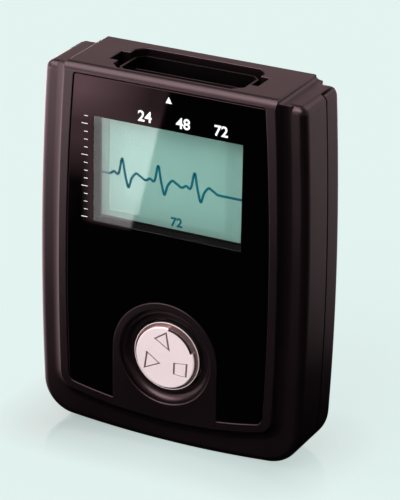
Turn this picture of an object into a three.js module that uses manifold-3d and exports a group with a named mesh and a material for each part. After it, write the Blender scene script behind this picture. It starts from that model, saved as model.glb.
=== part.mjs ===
// A pocket heart recorder: two moulded shells with a glossy front panel, a small
// display behind its window, a metal rocking button and a lead socket in the top.
// Millimetres. x runs to the right, y to the back, z up. The origin lies on the
// ground under the middle of the body. Depths are counted from the front deck.

import * as THREE from 'three';
import { mergeVertices } from 'three/addons/utils/BufferGeometryUtils.js';
import Module from 'manifold-3d';

const wasm = await Module();
wasm.setup();

// Body
const bodyWidth = 72.4;
const bodyHeight = 95.5;
const widestHeight = 43.5;
const sideBowRadius = 750;
const footBowRadius = 300;
const footCornerRadius = 9;
const shoulderDrop = 1.4;
const shoulderCornerRadius = 2.2;
const shoulderDepth = 2.2;
const frontRounding = 1.9;
const backRounding = 3;
const shellWall = 1.8;
const partingDepth = 13.3;
const partingGap = 0.3;

// Deck that stands proud of the shoulders
const deckMargin = 6.45;
const deckFoot = 7.1;
const deckFootBowRadius = 120;
const deckCornerRadius = 4.5;
const deckTopCornerRadius = 1;
const deckEdgeRounding = 0.4;
const stepWidth = 2.8;
const deckFloorDepth = 3.2;

// Socket block along the top
const blockMargin = 8.15;
const blockFlare = 1.7;
const blockFrontRounding = 1.3;
const blockBackRounding = 0.5;
const capMargin = 3.2;
const capHeight = 8.5;
const capWall = 1.6;

// Front panel and its window
const panelSideMargin = 2.58;
const panelTopMargin = 2.4;
const panelFootMargin = 2.55;
const panelFootBowRadius = 120;
const panelBowRadius = 600;
const panelCornerRadius = 2;
const panelTopCornerRadius = 0.5;
const panelThickness = 1.4;
const panelChamfer = 0.2;
const panelGap = 0.15;
const panelSeatGap = 0.3;
const adhesiveThickness = 0.2;
const adhesiveMargin = 1;
const archRadius = 14.44;
const windowHalfWidth = 20.3;
const windowHalfHeight = 14;

// Display
const openingSideInset = 0.55;
const openingEndInset = 0.85;
const glassSideLap = 1;
const glassEndLap = 0.1;
const glassThickness = 1.4;
const frameBorder = 0.7;
const frameLip = 0.4;
const frameThickness = 3.4;
const frameTopGap = 0.26;
const gasketThickness = 0.3;
const backlightThickness = 1.2;
const ribbonWidth = 15;
const ribbonThickness = 0.25;
const ribbonDrop = 4.2;
const ribbonLanding = 4;

// Rocking button
const buttonHeight = 24.17;
const buttonFaceRadius = 8.07;
const buttonFaceDepth = 0.16;
const buttonFaceBevel = 0.3;
const buttonRimRadius = 8.84;
const buttonRimDepth = 1.5;
const buttonRimBevel = 0.15;
const buttonSkirtDepth = 3.2;
const buttonSkirtWall = 0.74;
const buttonTopThickness = 1.94;
const buttonClearance = 0.31;
const dishRadius = 12.2;
const dishFloorRadius = 10.2;
const dishDepth = 2.3;
const guideWall = 1.25;
const guideDepth = 5.9;
const pivotBossRadius = 1.5;
const pivotBossGap = 0.3;
const rockerRadius = 7.6;
const rockerGap = 0.5;
const rockerThickness = 0.9;
const stemRadius = 8.6;
const stemGap = 0.7;
const stemThickness = 1;
const buttonTravel = 0.5;
const switchCircleRadius = 5.2;
const switchWidth = 4.4;
const switchBodyHeight = 1.15;
const switchPlungerHeight = 0.4;
const switchPlungerRadius = 1;
const switchRestGap = 0.15;
const switchAngles = [96, 203, 331];

// Main board
const boardThickness = 1;
const boardMargin = 3.4;
const boardTopGap = 0.3;
const boardPostRadius = 2;
const boardPostHole = 0.9;
const boardHoleRadius = 1.2;
const boardBossClearance = 0.4;
const boardPostGap = 0.1;
const highPostInset = 8.7;
const highPostDrop = 5.84;
const lowPostInset = 20.2;
const lowPostHeight = 10.5;
const boardScrewHeadRadius = 1.6;
const boardScrewHeadHeight = 0.9;
const boardScrewShaftRadius = 0.7;
const boardScrewLength = 4;
const chipMargin = 1.9;
const shieldWidth = 22;
const shieldHeight = 17;
const shieldThickness = 2.6;
const chipX = 9;
const processorWidth = 10;
const processorThickness = 1.2;
const memoryWidth = 12;
const memoryHeight = 8;
const memoryThickness = 1;
const clockCellX = 12;
const clockCellRadius = 5;
const clockCellThickness = 2.5;
const buzzerX = 12;
const buzzerRadius = 6;
const buzzerHeight = 4;
const buzzerHoleRadius = 1;
const shieldRiseShare = 0.28;
const processorRiseShare = 0.27;
const memoryRiseShare = 0.51;
const clockCellRiseShare = 0.78;
const buzzerRiseShare = 0.69;

// Lead socket
const socketForward = 0.3;
const slotWidth = 34.6;
const slotDepth = 15.8;
const slotCorner = 2.3;
const earSpan = 39.4;
const earDepth = 6.4;
const socketShellWidth = 33;
const socketShellDepth = 12.4;
const socketShellCorner = 2.2;
const socketShellWall = 0.6;
const socketShellDrop = 1.3;
const socketShellHeight = 8.2;
const flangeWidth = 42;
const flangeDepth = 15.8;
const flangeOffset = 0.8;
const flangeCorner = 2;
const flangeThickness = 0.6;
const flangeDrop = 3.3;
const insulatorDrop = 1.1;
const insulatorBaseHeight = 3.4;
const tongueWidth = 27;
const tongueThickness = 1.6;
const tongueDrop = 3.3;
const tongueOffset = -0.1;
const contactCount = 10;
const contactPitch = 2.5;
const contactWidth = 1.2;
const contactThickness = 0.35;
const contactTail = 2.2;
const contactTipDrop = 0.5;

// Batteries and their bay
const cellRadius = 5.25;
const cellLength = 44.5;
const cellNubRadius = 1.9;
const cellNubLength = 1;
const cellBevel = 0.5;
const cellPitch = 11.1;
const bayHeight = 25.1;
const bayFloorGap = 0.3;
const bayFloorThickness = 0.8;
const bayWall = 0.9;
const bayEndClearance = 2.55;
const baySideClearance = 0.35;
const cellFloorGap = 0.15;
const cellDoorGap = 0.25;
const contactPlateThickness = 0.4;
const contactPlateGap = 0.3;
const contactPlateEdgeGap = 0.5;
const contactBumpReach = 1.5;
const contactBumpHalfWidth = 2;
const contactBumpTip = 0.4;

// Battery door
const doorThickness = 1.3;
const doorLap = 2.4;
const doorCornerRadius = 2;
const doorGap = 0.3;
const doorSeatGap = 0.1;
const doorPadMargin = 1.6;
const doorPadThickness = 1.2;
const spigotInset = 0.4;
const spigotDepth = 0.6;
const spigotWall = 1;
const gripCount = 3;
const gripPitch = 2.4;
const gripWidth = 14;
const gripGroove = 0.9;
const gripDepth = 0.4;
const scoopRadius = 6;
const scoopDepth = 0.9;

// Housing screws
const lowBossInset = 14;
const lowBossHeight = 8.2;
const highBossInset = 6.2;
const highBossDrop = 16.1;
const bossRadius = 2.6;
const bossHoleRadius = 1.2;
const bossHoleDepth = 8.4;
const bossEndGap = 0.3;
const columnRadius = 3.4;
const screwSinkDepth = 2.9;
const screwSinkRadius = 2.6;
const screwClearHoleRadius = 1.3;
const screwHeadRadius = 2.3;
const screwHeadHeight = 1.5;
const screwShaftRadius = 0.9;
const screwLength = 9.5;
const screwSlotWidth = 0.4;
const screwSlotReachShare = 0.65;
const screwHeadEdgeShare = 0.65;
const screwHeadTopShare = 0.75;

// Joint between the shells
const lipThickness = 0.9;
const lipGap = 0.3;
const lipReach = 1.4;
const ledgeThickness = 1.2;
const ledgeRoot = 0.9;

// Making of the model
const fitGap = 0.1;
const seatGap = 0.05;
const overrun = 1;
const weldDistance = 0.0001;
const smallestRadius = 0.05;
const footSteps = 7;
const footCornerSteps = 7;
const sideSteps = 8;
const topCornerSteps = 3;
const roundingSteps = 4;
const stepSteps = 4;
const archSteps = 32;
const buttonSegments = 64;
const roundSegments = 24;
const screwSegments = 16;

const quarterTurn = Math.PI / 2;
const halfTurn = Math.PI;

// Places that follow from the sizes
const deckWidth = bodyWidth - 2 * deckMargin;
const blockWidth = bodyWidth - 2 * blockMargin;
const capWidth = bodyWidth - 2 * capMargin;
const panelWidth = deckWidth - 2 * panelSideMargin;
const panelTop = bodyHeight - panelTopMargin;
const panelFoot = deckFoot + panelFootMargin;
const shoulderTop = bodyHeight - shoulderDrop;
const capFoot = bodyHeight - capHeight;
const recessDepth = panelThickness + panelSeatGap;

const glassWidth = 2 * (windowHalfWidth + glassSideLap);
const glassHeight = 2 * (windowHalfHeight + glassEndLap);
const displayOpeningWidth = 2 * (windowHalfWidth - openingSideInset);
const displayOpeningHeight = 2 * (windowHalfHeight - openingEndInset);
const gasketFront = deckFloorDepth + seatGap;
const frameFront = gasketFront + gasketThickness + seatGap;
const glassFront = frameFront + frameLip + fitGap;
const backlightFront = glassFront + glassThickness + 2 * fitGap;
const pocketHalfWidth = glassWidth / 2 + fitGap;
const pocketHalfHeight = glassHeight / 2 + fitGap;
const frameHalfWidth = pocketHalfWidth + frameBorder;
const frameHalfHeight = pocketHalfHeight + frameBorder;

const capUnderside = buttonFaceDepth + buttonTopThickness;
const rockerFront = capUnderside + rockerGap;
const rockerBack = rockerFront + rockerThickness;
const stemFront = rockerBack + stemGap;
const stemBack = stemFront + stemThickness;
const switchFront = stemBack + buttonTravel + switchRestGap;
const switchBack = switchFront + switchPlungerHeight + switchBodyHeight;
const boardDepth = switchBack + fitGap;
const boardBack = boardDepth + boardThickness;
const onBoard = boardBack + fitGap;

const bayHalfWidth = cellLength / 2 + bayEndClearance;
const bayHalfHeight = cellPitch / 2 + cellRadius + baySideClearance;
const bayFloorDepth = boardBack + bayFloorGap + bayFloorThickness;
const cellDepth = bayFloorDepth + cellFloorGap + cellRadius;
const doorFront = cellDepth + cellRadius + cellDoorGap;
const doorSeat = doorFront - doorSeatGap;
const doorWidth = 2 * (bayHalfWidth + doorLap);
const doorHeight = 2 * (bayHalfHeight + doorLap);
const bodyDepth = doorFront + doorThickness;

const socketDepth = bodyDepth / 2 - socketForward;
const socketTop = bodyHeight - socketShellDrop;
const socketFoot = socketTop - socketShellHeight;
const insulatorFoot = socketFoot - insulatorDrop;
const insulatorTop = insulatorFoot + insulatorBaseHeight;
const tongueTop = socketTop - tongueDrop;
const tongueFront = socketDepth + tongueOffset - tongueThickness / 2;
const contactBack = tongueFront - fitGap;
const contactFront = contactBack - contactThickness;
const tailFront = onBoard;
const contactPlaces = Array.from(
  { length: contactCount },
  (_, i) => (i - (contactCount - 1) / 2) * contactPitch,
);

const boardTop = insulatorFoot - boardTopGap;
const windowHeight = insulatorFoot - frameTopGap - frameHalfHeight;
const highPostSpread = bodyWidth / 2 - highPostInset;
const highPostHeight = windowHeight - frameHalfHeight - highPostDrop;
const lowPostSpread = bodyWidth / 2 - lowPostInset;
const highBossSpread = bodyWidth / 2 - highBossInset;
const highBossHeight = shoulderTop - highBossDrop;
const lowBossSpread = bodyWidth / 2 - lowBossInset;
const bossEnd = partingDepth - bossEndGap;
const screwSeatDepth = bodyDepth - screwSinkDepth;
const shieldX = highPostSpread - boardScrewHeadRadius - chipMargin - shieldWidth / 2;
const bayTop = bayHeight + bayHalfHeight + bayWall;
const chipPlace = (share) => bayTop + share * (boardTop - bayTop);

const bodyOutline = {
  width: bodyWidth,
  top: shoulderTop,
  foot: 0,
  bow: sideBowRadius,
  footBow: footBowRadius,
  corner: footCornerRadius,
  topCorner: shoulderCornerRadius,
};

const deckOutline = {
  width: deckWidth,
  top: bodyHeight + deckTopCornerRadius,
  foot: deckFoot,
  bow: sideBowRadius,
  footBow: deckFootBowRadius,
  corner: deckCornerRadius,
  topCorner: deckTopCornerRadius,
};

const panelOutline = {
  width: panelWidth,
  top: panelTop,
  foot: panelFoot,
  bow: panelBowRadius,
  footBow: panelFootBowRadius,
  corner: panelCornerRadius,
  topCorner: panelTopCornerRadius,
};

// Points of an arc, without its last one, which the next stretch begins with.
function arc(centre, radius, from, to, steps) {
  return Array.from({ length: steps }, (_, i) => {
    const angle = from + ((to - from) * i) / steps;
    return new THREE.Vector2(
      centre.x + radius * Math.cos(angle),
      centre.y + radius * Math.sin(angle),
    );
  });
}

// The lower meeting point of two circles.
function lowerCrossing(first, firstRadius, second, secondRadius) {
  const line = second.clone().sub(first);
  const distance = line.length();
  const along = (firstRadius ** 2 - secondRadius ** 2 + distance ** 2) / (2 * distance);
  const across = Math.sqrt(firstRadius ** 2 - along ** 2);
  line.normalize();
  const foot = first.clone().addScaledVector(line, along);
  const normal = new THREE.Vector2(line.y, -line.x);
  const one = foot.clone().addScaledVector(normal, across);
  const other = foot.clone().addScaledVector(normal, -across);
  return one.y < other.y ? one : other;
}

// The same bowed shape, drawn in all round.
function drawnIn(shape, inset) {
  return {
    width: shape.width - 2 * inset,
    top: shape.top - inset,
    foot: shape.foot + inset,
    bow: shape.bow - inset,
    footBow: shape.footBow - inset,
    corner: Math.max(shape.corner - inset, smallestRadius),
    topCorner: Math.max(shape.topCorner - inset, smallestRadius),
  };
}

// Points round a bowed shape, seen from the front, counterclockwise.
function outline(shape) {
  const { bow, footBow, corner, topCorner } = shape;
  const side = new THREE.Vector2(shape.width / 2 - bow, widestHeight);
  const foot = new THREE.Vector2(0, shape.foot + footBow);
  const low = lowerCrossing(side, bow - corner, foot, footBow - corner);
  const highZ = shape.top - topCorner;
  const highReach = Math.sqrt((bow - topCorner) ** 2 - (highZ - side.y) ** 2);
  const high = new THREE.Vector2(side.x + highReach, highZ);
  const footAngle = Math.atan2(low.y - foot.y, low.x - foot.x);
  const lowAngle = Math.atan2(low.y - side.y, low.x - side.x);
  const highAngle = Math.atan2(high.y - side.y, high.x - side.x);
  const mirror = (v) => new THREE.Vector2(-v.x, v.y);
  return [
    ...arc(foot, footBow, -halfTurn - footAngle, footAngle, footSteps),
    ...arc(low, corner, footAngle, lowAngle, footCornerSteps),
    ...arc(side, bow, lowAngle, highAngle, sideSteps),
    ...arc(high, topCorner, highAngle, quarterTurn, topCornerSteps),
    new THREE.Vector2(high.x, shape.top),
    ...arc(mirror(high), topCorner, quarterTurn, halfTurn - highAngle, topCornerSteps),
    ...arc(mirror(side), bow, halfTurn - highAngle, halfTurn - lowAngle, sideSteps),
    ...arc(mirror(low), corner, halfTurn - lowAngle, halfTurn - footAngle, footCornerSteps),
  ];
}

// Turns a closed geometry into a solid: shared corners are merged, faces that
// shrank to a line are left out, and the rest are turned to point outwards.
function solid(geometry) {
  const bare = geometry.clone();
  bare.deleteAttribute('normal');
  bare.deleteAttribute('uv');
  const merged = mergeVertices(bare, weldDistance);
  const corners = merged.attributes.position;
  const indices = Array.from(merged.index.array);
  const faces = [];
  const a = new THREE.Vector3();
  const b = new THREE.Vector3();
  const c = new THREE.Vector3();
  let volume = 0;
  for (let i = 0; i < indices.length; i += 3) {
    const [p, q, r] = indices.slice(i, i + 3);
    if (p !== q && q !== r && r !== p) {
      faces.push([p, q, r]);
      a.fromBufferAttribute(corners, p);
      b.fromBufferAttribute(corners, q);
      c.fromBufferAttribute(corners, r);
      volume += a.dot(b.cross(c));
    }
  }
  const outward = volume < 0 ? faces.map(([p, q, r]) => [p, r, q]) : faces;
  return new wasm.Manifold(new wasm.Mesh({
    numProp: 3,
    vertProperties: Float32Array.from(corners.array),
    triVerts: Uint32Array.from(outward.flat()),
  }));
}

// Lays one outline behind another, each at its depth, and closes both ends.
function stack(outlines, depths) {
  const count = outlines[0].length;
  const last = (outlines.length - 1) * count;
  const position = outlines.flatMap((points, k) => points.flatMap((p) => [p.x, depths[k], p.y]));
  const index = [];
  for (let near = 0; near < last; near += count) {
    const far = near + count;
    for (let i = 0; i < count; i += 1) {
      const j = (i + 1) % count;
      index.push(near + i, far + i, near + j);
      index.push(near + j, far + i, far + j);
    }
  }
  for (const [p, q, r] of THREE.ShapeUtils.triangulateShape(outlines[0], [])) {
    index.push(p, q, r);
  }
  for (const [p, q, r] of THREE.ShapeUtils.triangulateShape(outlines.at(-1), [])) {
    index.push(last + p, last + r, last + q);
  }
  const geometry = new THREE.BufferGeometry();
  geometry.setAttribute('position', new THREE.Float32BufferAttribute(position, 3));
  geometry.setIndex(index);
  return solid(geometry);
}

// A stack of one bowed shape, given as pairs of inset and depth.
function layers(shape, rings) {
  return stack(
    rings.map(([inset]) => outline(drawnIn(shape, inset))),
    rings.map(([, depth]) => depth),
  );
}

// An outline in x and z, carried from one depth to another.
function plate(points, front, back) {
  return stack([points, points], [front, back]);
}

function box(left, right, front, back, foot, top) {
  const points = [
    new THREE.Vector2(left, foot),
    new THREE.Vector2(right, foot),
    new THREE.Vector2(right, top),
    new THREE.Vector2(left, top),
  ];
  return plate(points, front, back);
}

function roundedRectangle(halfWidth, halfHeight, middle, radius) {
  const reach = halfWidth - radius;
  const rise = halfHeight - radius;
  const corners = [[reach, -rise], [reach, rise], [-reach, rise], [-reach, -rise]];
  return corners.flatMap(([x, z], i) => {
    const centre = new THREE.Vector2(x, middle + z);
    const from = quarterTurn * (i - 1);
    const end = new THREE.Vector2(radius, 0).rotateAround(new THREE.Vector2(), from + quarterTurn);
    return [...arc(centre, radius, from, from + quarterTurn, roundingSteps), end.add(centre)];
  });
}

// An outline in depth and height, carried from left to right.
function bar(points, left, right) {
  const geometry = new THREE.ExtrudeGeometry(new THREE.Shape(points), {
    depth: right - left,
    bevelEnabled: false,
  });
  geometry.applyMatrix4(new THREE.Matrix4().makeBasis(
    new THREE.Vector3(0, 1, 0),
    new THREE.Vector3(0, 0, 1),
    new THREE.Vector3(1, 0, 0),
  ));
  geometry.translate(left, 0, 0);
  return solid(geometry);
}

// An outline in x and depth, carried from one height to another.
function post(points, foot, top) {
  const geometry = new THREE.ExtrudeGeometry(new THREE.Shape(points), {
    depth: top - foot,
    bevelEnabled: false,
  });
  geometry.translate(0, 0, foot);
  return solid(geometry);
}

// A round piece about a line along y, from pairs of radius and depth.
function round(profile, segments) {
  const points = profile.map(([radius, depth]) => new THREE.Vector2(radius, depth));
  return solid(new THREE.LatheGeometry(points, segments));
}

function cylinder(radius, front, back, segments = roundSegments) {
  return round([[0, front], [radius, front], [radius, back], [0, back]], segments);
}

function ring(inner, outer, front, back, segments) {
  const profile = [[inner, front], [outer, front], [outer, back], [inner, back], [inner, front]];
  return round(profile, segments);
}

const at = (shape, x, z) => shape.translate([x, 0, z]);
const joined = (first, ...others) => others.reduce((sum, next) => sum.add(next), first);
const cutBy = (first, ...others) => others.reduce((rest, next) => rest.subtract(next), first);

// Angles that divide a quarter turn evenly, both ends included.
function quarterSteps(steps) {
  return Array.from({ length: steps + 1 }, (_, i) => (quarterTurn * i) / steps);
}

// Screw places

const mirrored = (spread, height) => [{ x: spread, z: height }, { x: -spread, z: height }];
const bosses = [...mirrored(lowBossSpread, lowBossHeight), ...mirrored(highBossSpread, highBossHeight)];
const boardPosts = [...mirrored(highPostSpread, highPostHeight), ...mirrored(lowPostSpread, lowPostHeight)];

// The same upright cylinder at each screw place of a list.
function cylindersAt(places, radius, front, back) {
  return places.map(({ x, z }) => at(cylinder(radius, front, back, screwSegments), x, z));
}

// The outer skin of both shells together

function bodySolid() {
  const front = quarterSteps(roundingSteps).map((turn) => [
    frontRounding * (1 - Math.sin(turn)),
    shoulderDepth + frontRounding * (1 - Math.cos(turn)),
  ]);
  const back = quarterSteps(roundingSteps).map((turn) => [
    backRounding * (1 - Math.cos(turn)),
    bodyDepth - backRounding * (1 - Math.sin(turn)),
  ]);
  return layers(bodyOutline, [...front, ...back]);
}

function deckSolid() {
  const edge = quarterSteps(2).map((turn) => [
    deckEdgeRounding * (1 - Math.sin(turn)),
    deckEdgeRounding * (1 - Math.cos(turn)),
  ]);
  const stepRise = shoulderDepth - deckEdgeRounding;
  const step = quarterSteps(stepSteps).slice(1).map((turn) => [
    -stepWidth * (1 - Math.cos(turn)),
    deckEdgeRounding + stepRise * Math.sin(turn),
  ]);
  return layers(deckOutline, [...edge, ...step, [-stepWidth, deckFloorDepth]]);
}

// One hollow end of the socket block, from its top edge down to the shoulder.
function blockEnd() {
  return quarterSteps(stepSteps).map((turn) => new THREE.Vector2(
    blockWidth / 2 + blockFlare * (1 - Math.cos(turn)),
    bodyHeight - shoulderDrop * Math.sin(turn),
  ));
}

// A front view that ends in the socket block and is straight sided below it.
function blockView(half, foot) {
  const left = blockEnd().map((v) => new THREE.Vector2(-v.x, v.y));
  return [
    new THREE.Vector2(-half, foot),
    new THREE.Vector2(half, foot),
    new THREE.Vector2(half, shoulderTop),
    ...blockEnd().reverse(),
    ...left,
    new THREE.Vector2(-half, shoulderTop),
  ];
}

// What lies under the rounded front and back edges of the top.
function topLimit() {
  const front = new THREE.Vector2(blockFrontRounding, bodyHeight - blockFrontRounding);
  const back = new THREE.Vector2(bodyDepth - blockBackRounding, bodyHeight - blockBackRounding);
  const points = [
    new THREE.Vector2(-overrun, -overrun),
    new THREE.Vector2(bodyDepth + overrun, -overrun),
    new THREE.Vector2(bodyDepth + overrun, back.y),
    ...arc(back, blockBackRounding, 0, quarterTurn, roundingSteps),
    new THREE.Vector2(back.x, bodyHeight),
    ...arc(front, blockFrontRounding, quarterTurn, halfTurn, roundingSteps),
    new THREE.Vector2(0, front.y),
    new THREE.Vector2(-overrun, front.y),
  ];
  return bar(points, -bodyWidth, bodyWidth);
}

const deckPart = deckSolid().intersect(plate(blockView(bodyWidth / 2, 0), -overrun, bodyDepth));
const blockPart = plate(blockView(blockWidth / 2 + blockFlare, capFoot), shoulderDepth, bodyDepth);
const skin = joined(bodySolid(), deckPart, blockPart).intersect(topLimit());

// The part of the body that the front shell's full-depth cap takes, widened by a gap.
function capZone(gap) {
  const half = capWidth / 2 + gap;
  const front = partingDepth - overrun;
  return box(-half, half, front, bodyDepth + overrun, capFoot - gap, bodyHeight + overrun);
}

// Front shell

function archOutline(radius) {
  const centre = new THREE.Vector2(0, buttonHeight);
  return [
    new THREE.Vector2(-radius, 0),
    new THREE.Vector2(radius, 0),
    ...arc(centre, radius, 0, halfTurn, archSteps),
    new THREE.Vector2(-radius, buttonHeight),
  ];
}

// The round hollow that the button sits in.
function dish() {
  const wall = quarterSteps(roundingSteps).map((turn) => [
    dishFloorRadius + (dishRadius - dishFloorRadius) * Math.cos(turn),
    dishDepth * Math.sin(turn),
  ]);
  const profile = [[0, -overrun], [dishRadius, -overrun], ...wall, [0, dishDepth]];
  return at(round(profile, buttonSegments), 0, buttonHeight);
}

// The lead slot in the top: a long opening with cut corners and an ear at each end.
function slotOutline() {
  const half = slotWidth / 2;
  const near = socketDepth - slotDepth / 2;
  const far = socketDepth + slotDepth / 2;
  const ear = earSpan / 2;
  const rightSide = [
    [half - slotCorner, near],
    [half, near + slotCorner],
    [half, socketDepth - earDepth / 2],
    [ear, socketDepth - earDepth / 2],
    [ear, socketDepth + earDepth / 2],
    [half, socketDepth + earDepth / 2],
    [half, far - slotCorner],
    [half - slotCorner, far],
  ];
  const leftSide = rightSide.map(([x, depth]) => [-x, depth]).reverse();
  return [...rightSide, ...leftSide].map(([x, depth]) => new THREE.Vector2(x, depth));
}

// A box about the middle of the window.
function framedBox(halfWidth, halfHeight, front, back) {
  const foot = windowHeight - halfHeight;
  return box(-halfWidth, halfWidth, front, back, foot, windowHeight + halfHeight);
}

function frontHousing() {
  const region = joined(
    box(-bodyWidth, bodyWidth, -overrun, partingDepth, -overrun, bodyHeight + overrun),
    capZone(0),
  );
  const cavity = layers(bodyOutline, [
    [shellWall + frontRounding / 2, deckFloorDepth],
    [shellWall, deckFloorDepth + frontRounding],
    [shellWall, partingDepth + overrun],
  ]);
  const capHalf = capWidth / 2 - capWall;
  const capCavity = box(
    -capHalf,
    capHalf,
    partingDepth - overrun,
    bodyDepth - shellWall,
    capFoot - overrun,
    shoulderTop - shellWall,
  );
  const recess = cutBy(
    plate(outline(drawnIn(panelOutline, -panelGap)), -overrun, recessDepth),
    plate(archOutline(archRadius - panelGap), -overrun - overrun, recessDepth + overrun),
  );
  const windowCut = framedBox(windowHalfWidth, windowHalfHeight, 0, deckFloorDepth + overrun);
  const floorMiddle = (recessDepth + deckFloorDepth) / 2;
  const bossFront = (shoulderDepth + deckFloorDepth) / 2;
  const postEnd = boardDepth - boardPostGap;
  const hole = buttonRimRadius + buttonClearance;
  const guideFront = (dishDepth + deckFloorDepth) / 2;
  const guide = ring(hole, hole + guideWall, guideFront, guideDepth, buttonSegments);
  const buttonHole = cylinder(hole, -overrun, guideDepth + overrun, buttonSegments);
  const slot = post(slotOutline(), shoulderTop - shellWall - overrun, bodyHeight + overrun);
  const shell = cutBy(skin.intersect(region), cavity, capCavity, recess, windowCut, dish());
  return cutBy(
    joined(
      shell,
      ...cylindersAt(bosses, bossRadius, bossFront, bossEnd),
      ...cylindersAt(boardPosts, boardPostRadius, floorMiddle, postEnd),
      at(guide, 0, buttonHeight),
    ),
    at(buttonHole, 0, buttonHeight),
    slot,
    ...cylindersAt(bosses, bossHoleRadius, bossEnd - bossHoleDepth, bossEnd + overrun),
    ...cylindersAt(boardPosts, boardPostHole, deckFloorDepth, postEnd + overrun),
  );
}

// Front panel, its adhesive and the display behind it

function frontPanel() {
  const sheet = layers(panelOutline, [
    [panelChamfer, 0],
    [0, panelChamfer],
    [0, panelThickness],
  ]);
  return sheet.subtract(plate(archOutline(archRadius), -overrun, panelThickness + overrun));
}

function panelAdhesive() {
  const front = (panelThickness + recessDepth - adhesiveThickness) / 2;
  const back = front + adhesiveThickness;
  return cutBy(
    plate(outline(drawnIn(panelOutline, adhesiveMargin)), front, back),
    plate(archOutline(archRadius + adhesiveMargin), 0, recessDepth + overrun),
    framedBox(windowHalfWidth, windowHalfHeight, 0, recessDepth + overrun),
  );
}

function displayGasket() {
  const back = gasketFront + gasketThickness;
  return cutBy(
    framedBox(frameHalfWidth, frameHalfHeight, gasketFront, back),
    framedBox(windowHalfWidth, windowHalfHeight, gasketFront - overrun, back + overrun),
  );
}

function displayFrame() {
  const back = frameFront + frameThickness;
  const ribbonHalf = ribbonWidth / 2 + fitGap;
  const foot = windowHeight - frameHalfHeight - overrun;
  return cutBy(
    framedBox(frameHalfWidth, frameHalfHeight, frameFront, back),
    framedBox(displayOpeningWidth / 2, displayOpeningHeight / 2, frameFront - overrun, back),
    framedBox(pocketHalfWidth, pocketHalfHeight, frameFront + frameLip, back + overrun),
    box(-ribbonHalf, ribbonHalf, glassFront, back + overrun, foot, windowHeight),
  );
}

// The ribbon hangs from the glass, bends back and lies down on the board.
function displayRibbon() {
  const start = glassFront + glassThickness / 2;
  const end = boardDepth - fitGap;
  const top = windowHeight - glassHeight / 2 - fitGap;
  const bend = top - ribbonDrop;
  const landing = bend - (end - start) / 2;
  const points = [
    [start, top],
    [start, bend],
    [end - ribbonThickness, landing],
    [end - ribbonThickness, landing - ribbonLanding],
    [end, landing - ribbonLanding],
    [end, landing + ribbonThickness / 2],
    [start + ribbonThickness, bend + ribbonThickness / 2],
    [start + ribbonThickness, top],
  ].map(([depth, z]) => new THREE.Vector2(depth, z));
  return bar(points, -ribbonWidth / 2, ribbonWidth / 2);
}

// The button: a cap that rocks on a rocker, which rocks on a sliding stem

function buttonCap() {
  const inner = buttonRimRadius - buttonSkirtWall;
  return round([
    [0, buttonFaceDepth],
    [buttonFaceRadius - buttonFaceBevel, buttonFaceDepth],
    [buttonFaceRadius, buttonFaceDepth + buttonFaceBevel / 2],
    [buttonFaceRadius, buttonRimDepth],
    [buttonRimRadius - buttonRimBevel, buttonRimDepth],
    [buttonRimRadius, buttonRimDepth + buttonRimBevel],
    [buttonRimRadius, buttonSkirtDepth],
    [inner, buttonSkirtDepth],
    [inner, capUnderside],
    [0, capUnderside],
  ], buttonSegments);
}

// A disc with a small pivot boss in the middle of its front.
function pivotDisc(bossFront, radius, front, back) {
  return round([
    [0, bossFront],
    [pivotBossRadius, bossFront],
    [pivotBossRadius, front],
    [radius, front],
    [radius, back],
    [0, back],
  ], buttonSegments);
}

function pressSwitch() {
  const bodyFront = switchBack - switchBodyHeight;
  const middle = (bodyFront + switchBack) / 2;
  const half = switchWidth / 2;
  return joined(
    box(-half, half, bodyFront, switchBack, -half, half),
    cylinder(switchPlungerRadius, switchFront, middle, screwSegments),
  );
}

// Main board and its screws

function mainBoard() {
  const shape = { ...drawnIn(bodyOutline, boardMargin), top: boardTop };
  const front = boardDepth - overrun;
  const back = boardBack + overrun;
  return cutBy(
    plate(outline(shape), boardDepth, boardBack),
    ...cylindersAt(bosses, bossRadius + boardBossClearance, front, back),
    ...cylindersAt(boardPosts, boardHoleRadius, front, back),
  );
}

// A screw that points forward from its seat, with a slot or a cross in its head.
function screw(head, headHeight, shaft, length, grooves) {
  const blank = round([
    [0, -length],
    [shaft, -length],
    [shaft, 0],
    [head, 0],
    [head, headHeight * screwHeadEdgeShare],
    [head * screwHeadTopShare, headHeight],
    [0, headHeight],
  ], screwSegments);
  const half = screwSlotWidth / 2;
  const reach = head * screwSlotReachShare;
  const bottom = headHeight / 2;
  const wide = box(-reach, reach, bottom, headHeight + overrun, -half, half);
  const tall = box(-half, half, bottom, headHeight + overrun, -reach, reach);
  return cutBy(blank, ...[wide, tall].slice(0, grooves));
}

// Lead socket

// A rectangle in x and depth, its corners cut off.
function cutRectangle(width, span, corner, middle) {
  const half = width / 2;
  const near = middle - span / 2;
  const far = middle + span / 2;
  return [
    [half - corner, near],
    [half, near + corner],
    [half, far - corner],
    [half - corner, far],
    [corner - half, far],
    [-half, far - corner],
    [-half, near + corner],
    [corner - half, near],
  ].map(([x, depth]) => new THREE.Vector2(x, depth));
}

function socketOutline(inset) {
  const width = socketShellWidth - 2 * inset;
  const span = socketShellDepth - 2 * inset;
  return cutRectangle(width, span, socketShellCorner - inset, socketDepth);
}

// A thin metal tube with a flange under the slot that closes the slot's ears.
function socketShell() {
  const flangeTop = socketTop - flangeDrop;
  const flangeMiddle = socketDepth + flangeOffset;
  const flange = cutRectangle(flangeWidth, flangeDepth, flangeCorner, flangeMiddle);
  const inside = post(socketOutline(socketShellWall), socketFoot - overrun, socketTop + overrun);
  return joined(
    post(socketOutline(0), socketFoot, socketTop),
    post(flange, flangeTop - flangeThickness, flangeTop),
  ).subtract(inside);
}

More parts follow.
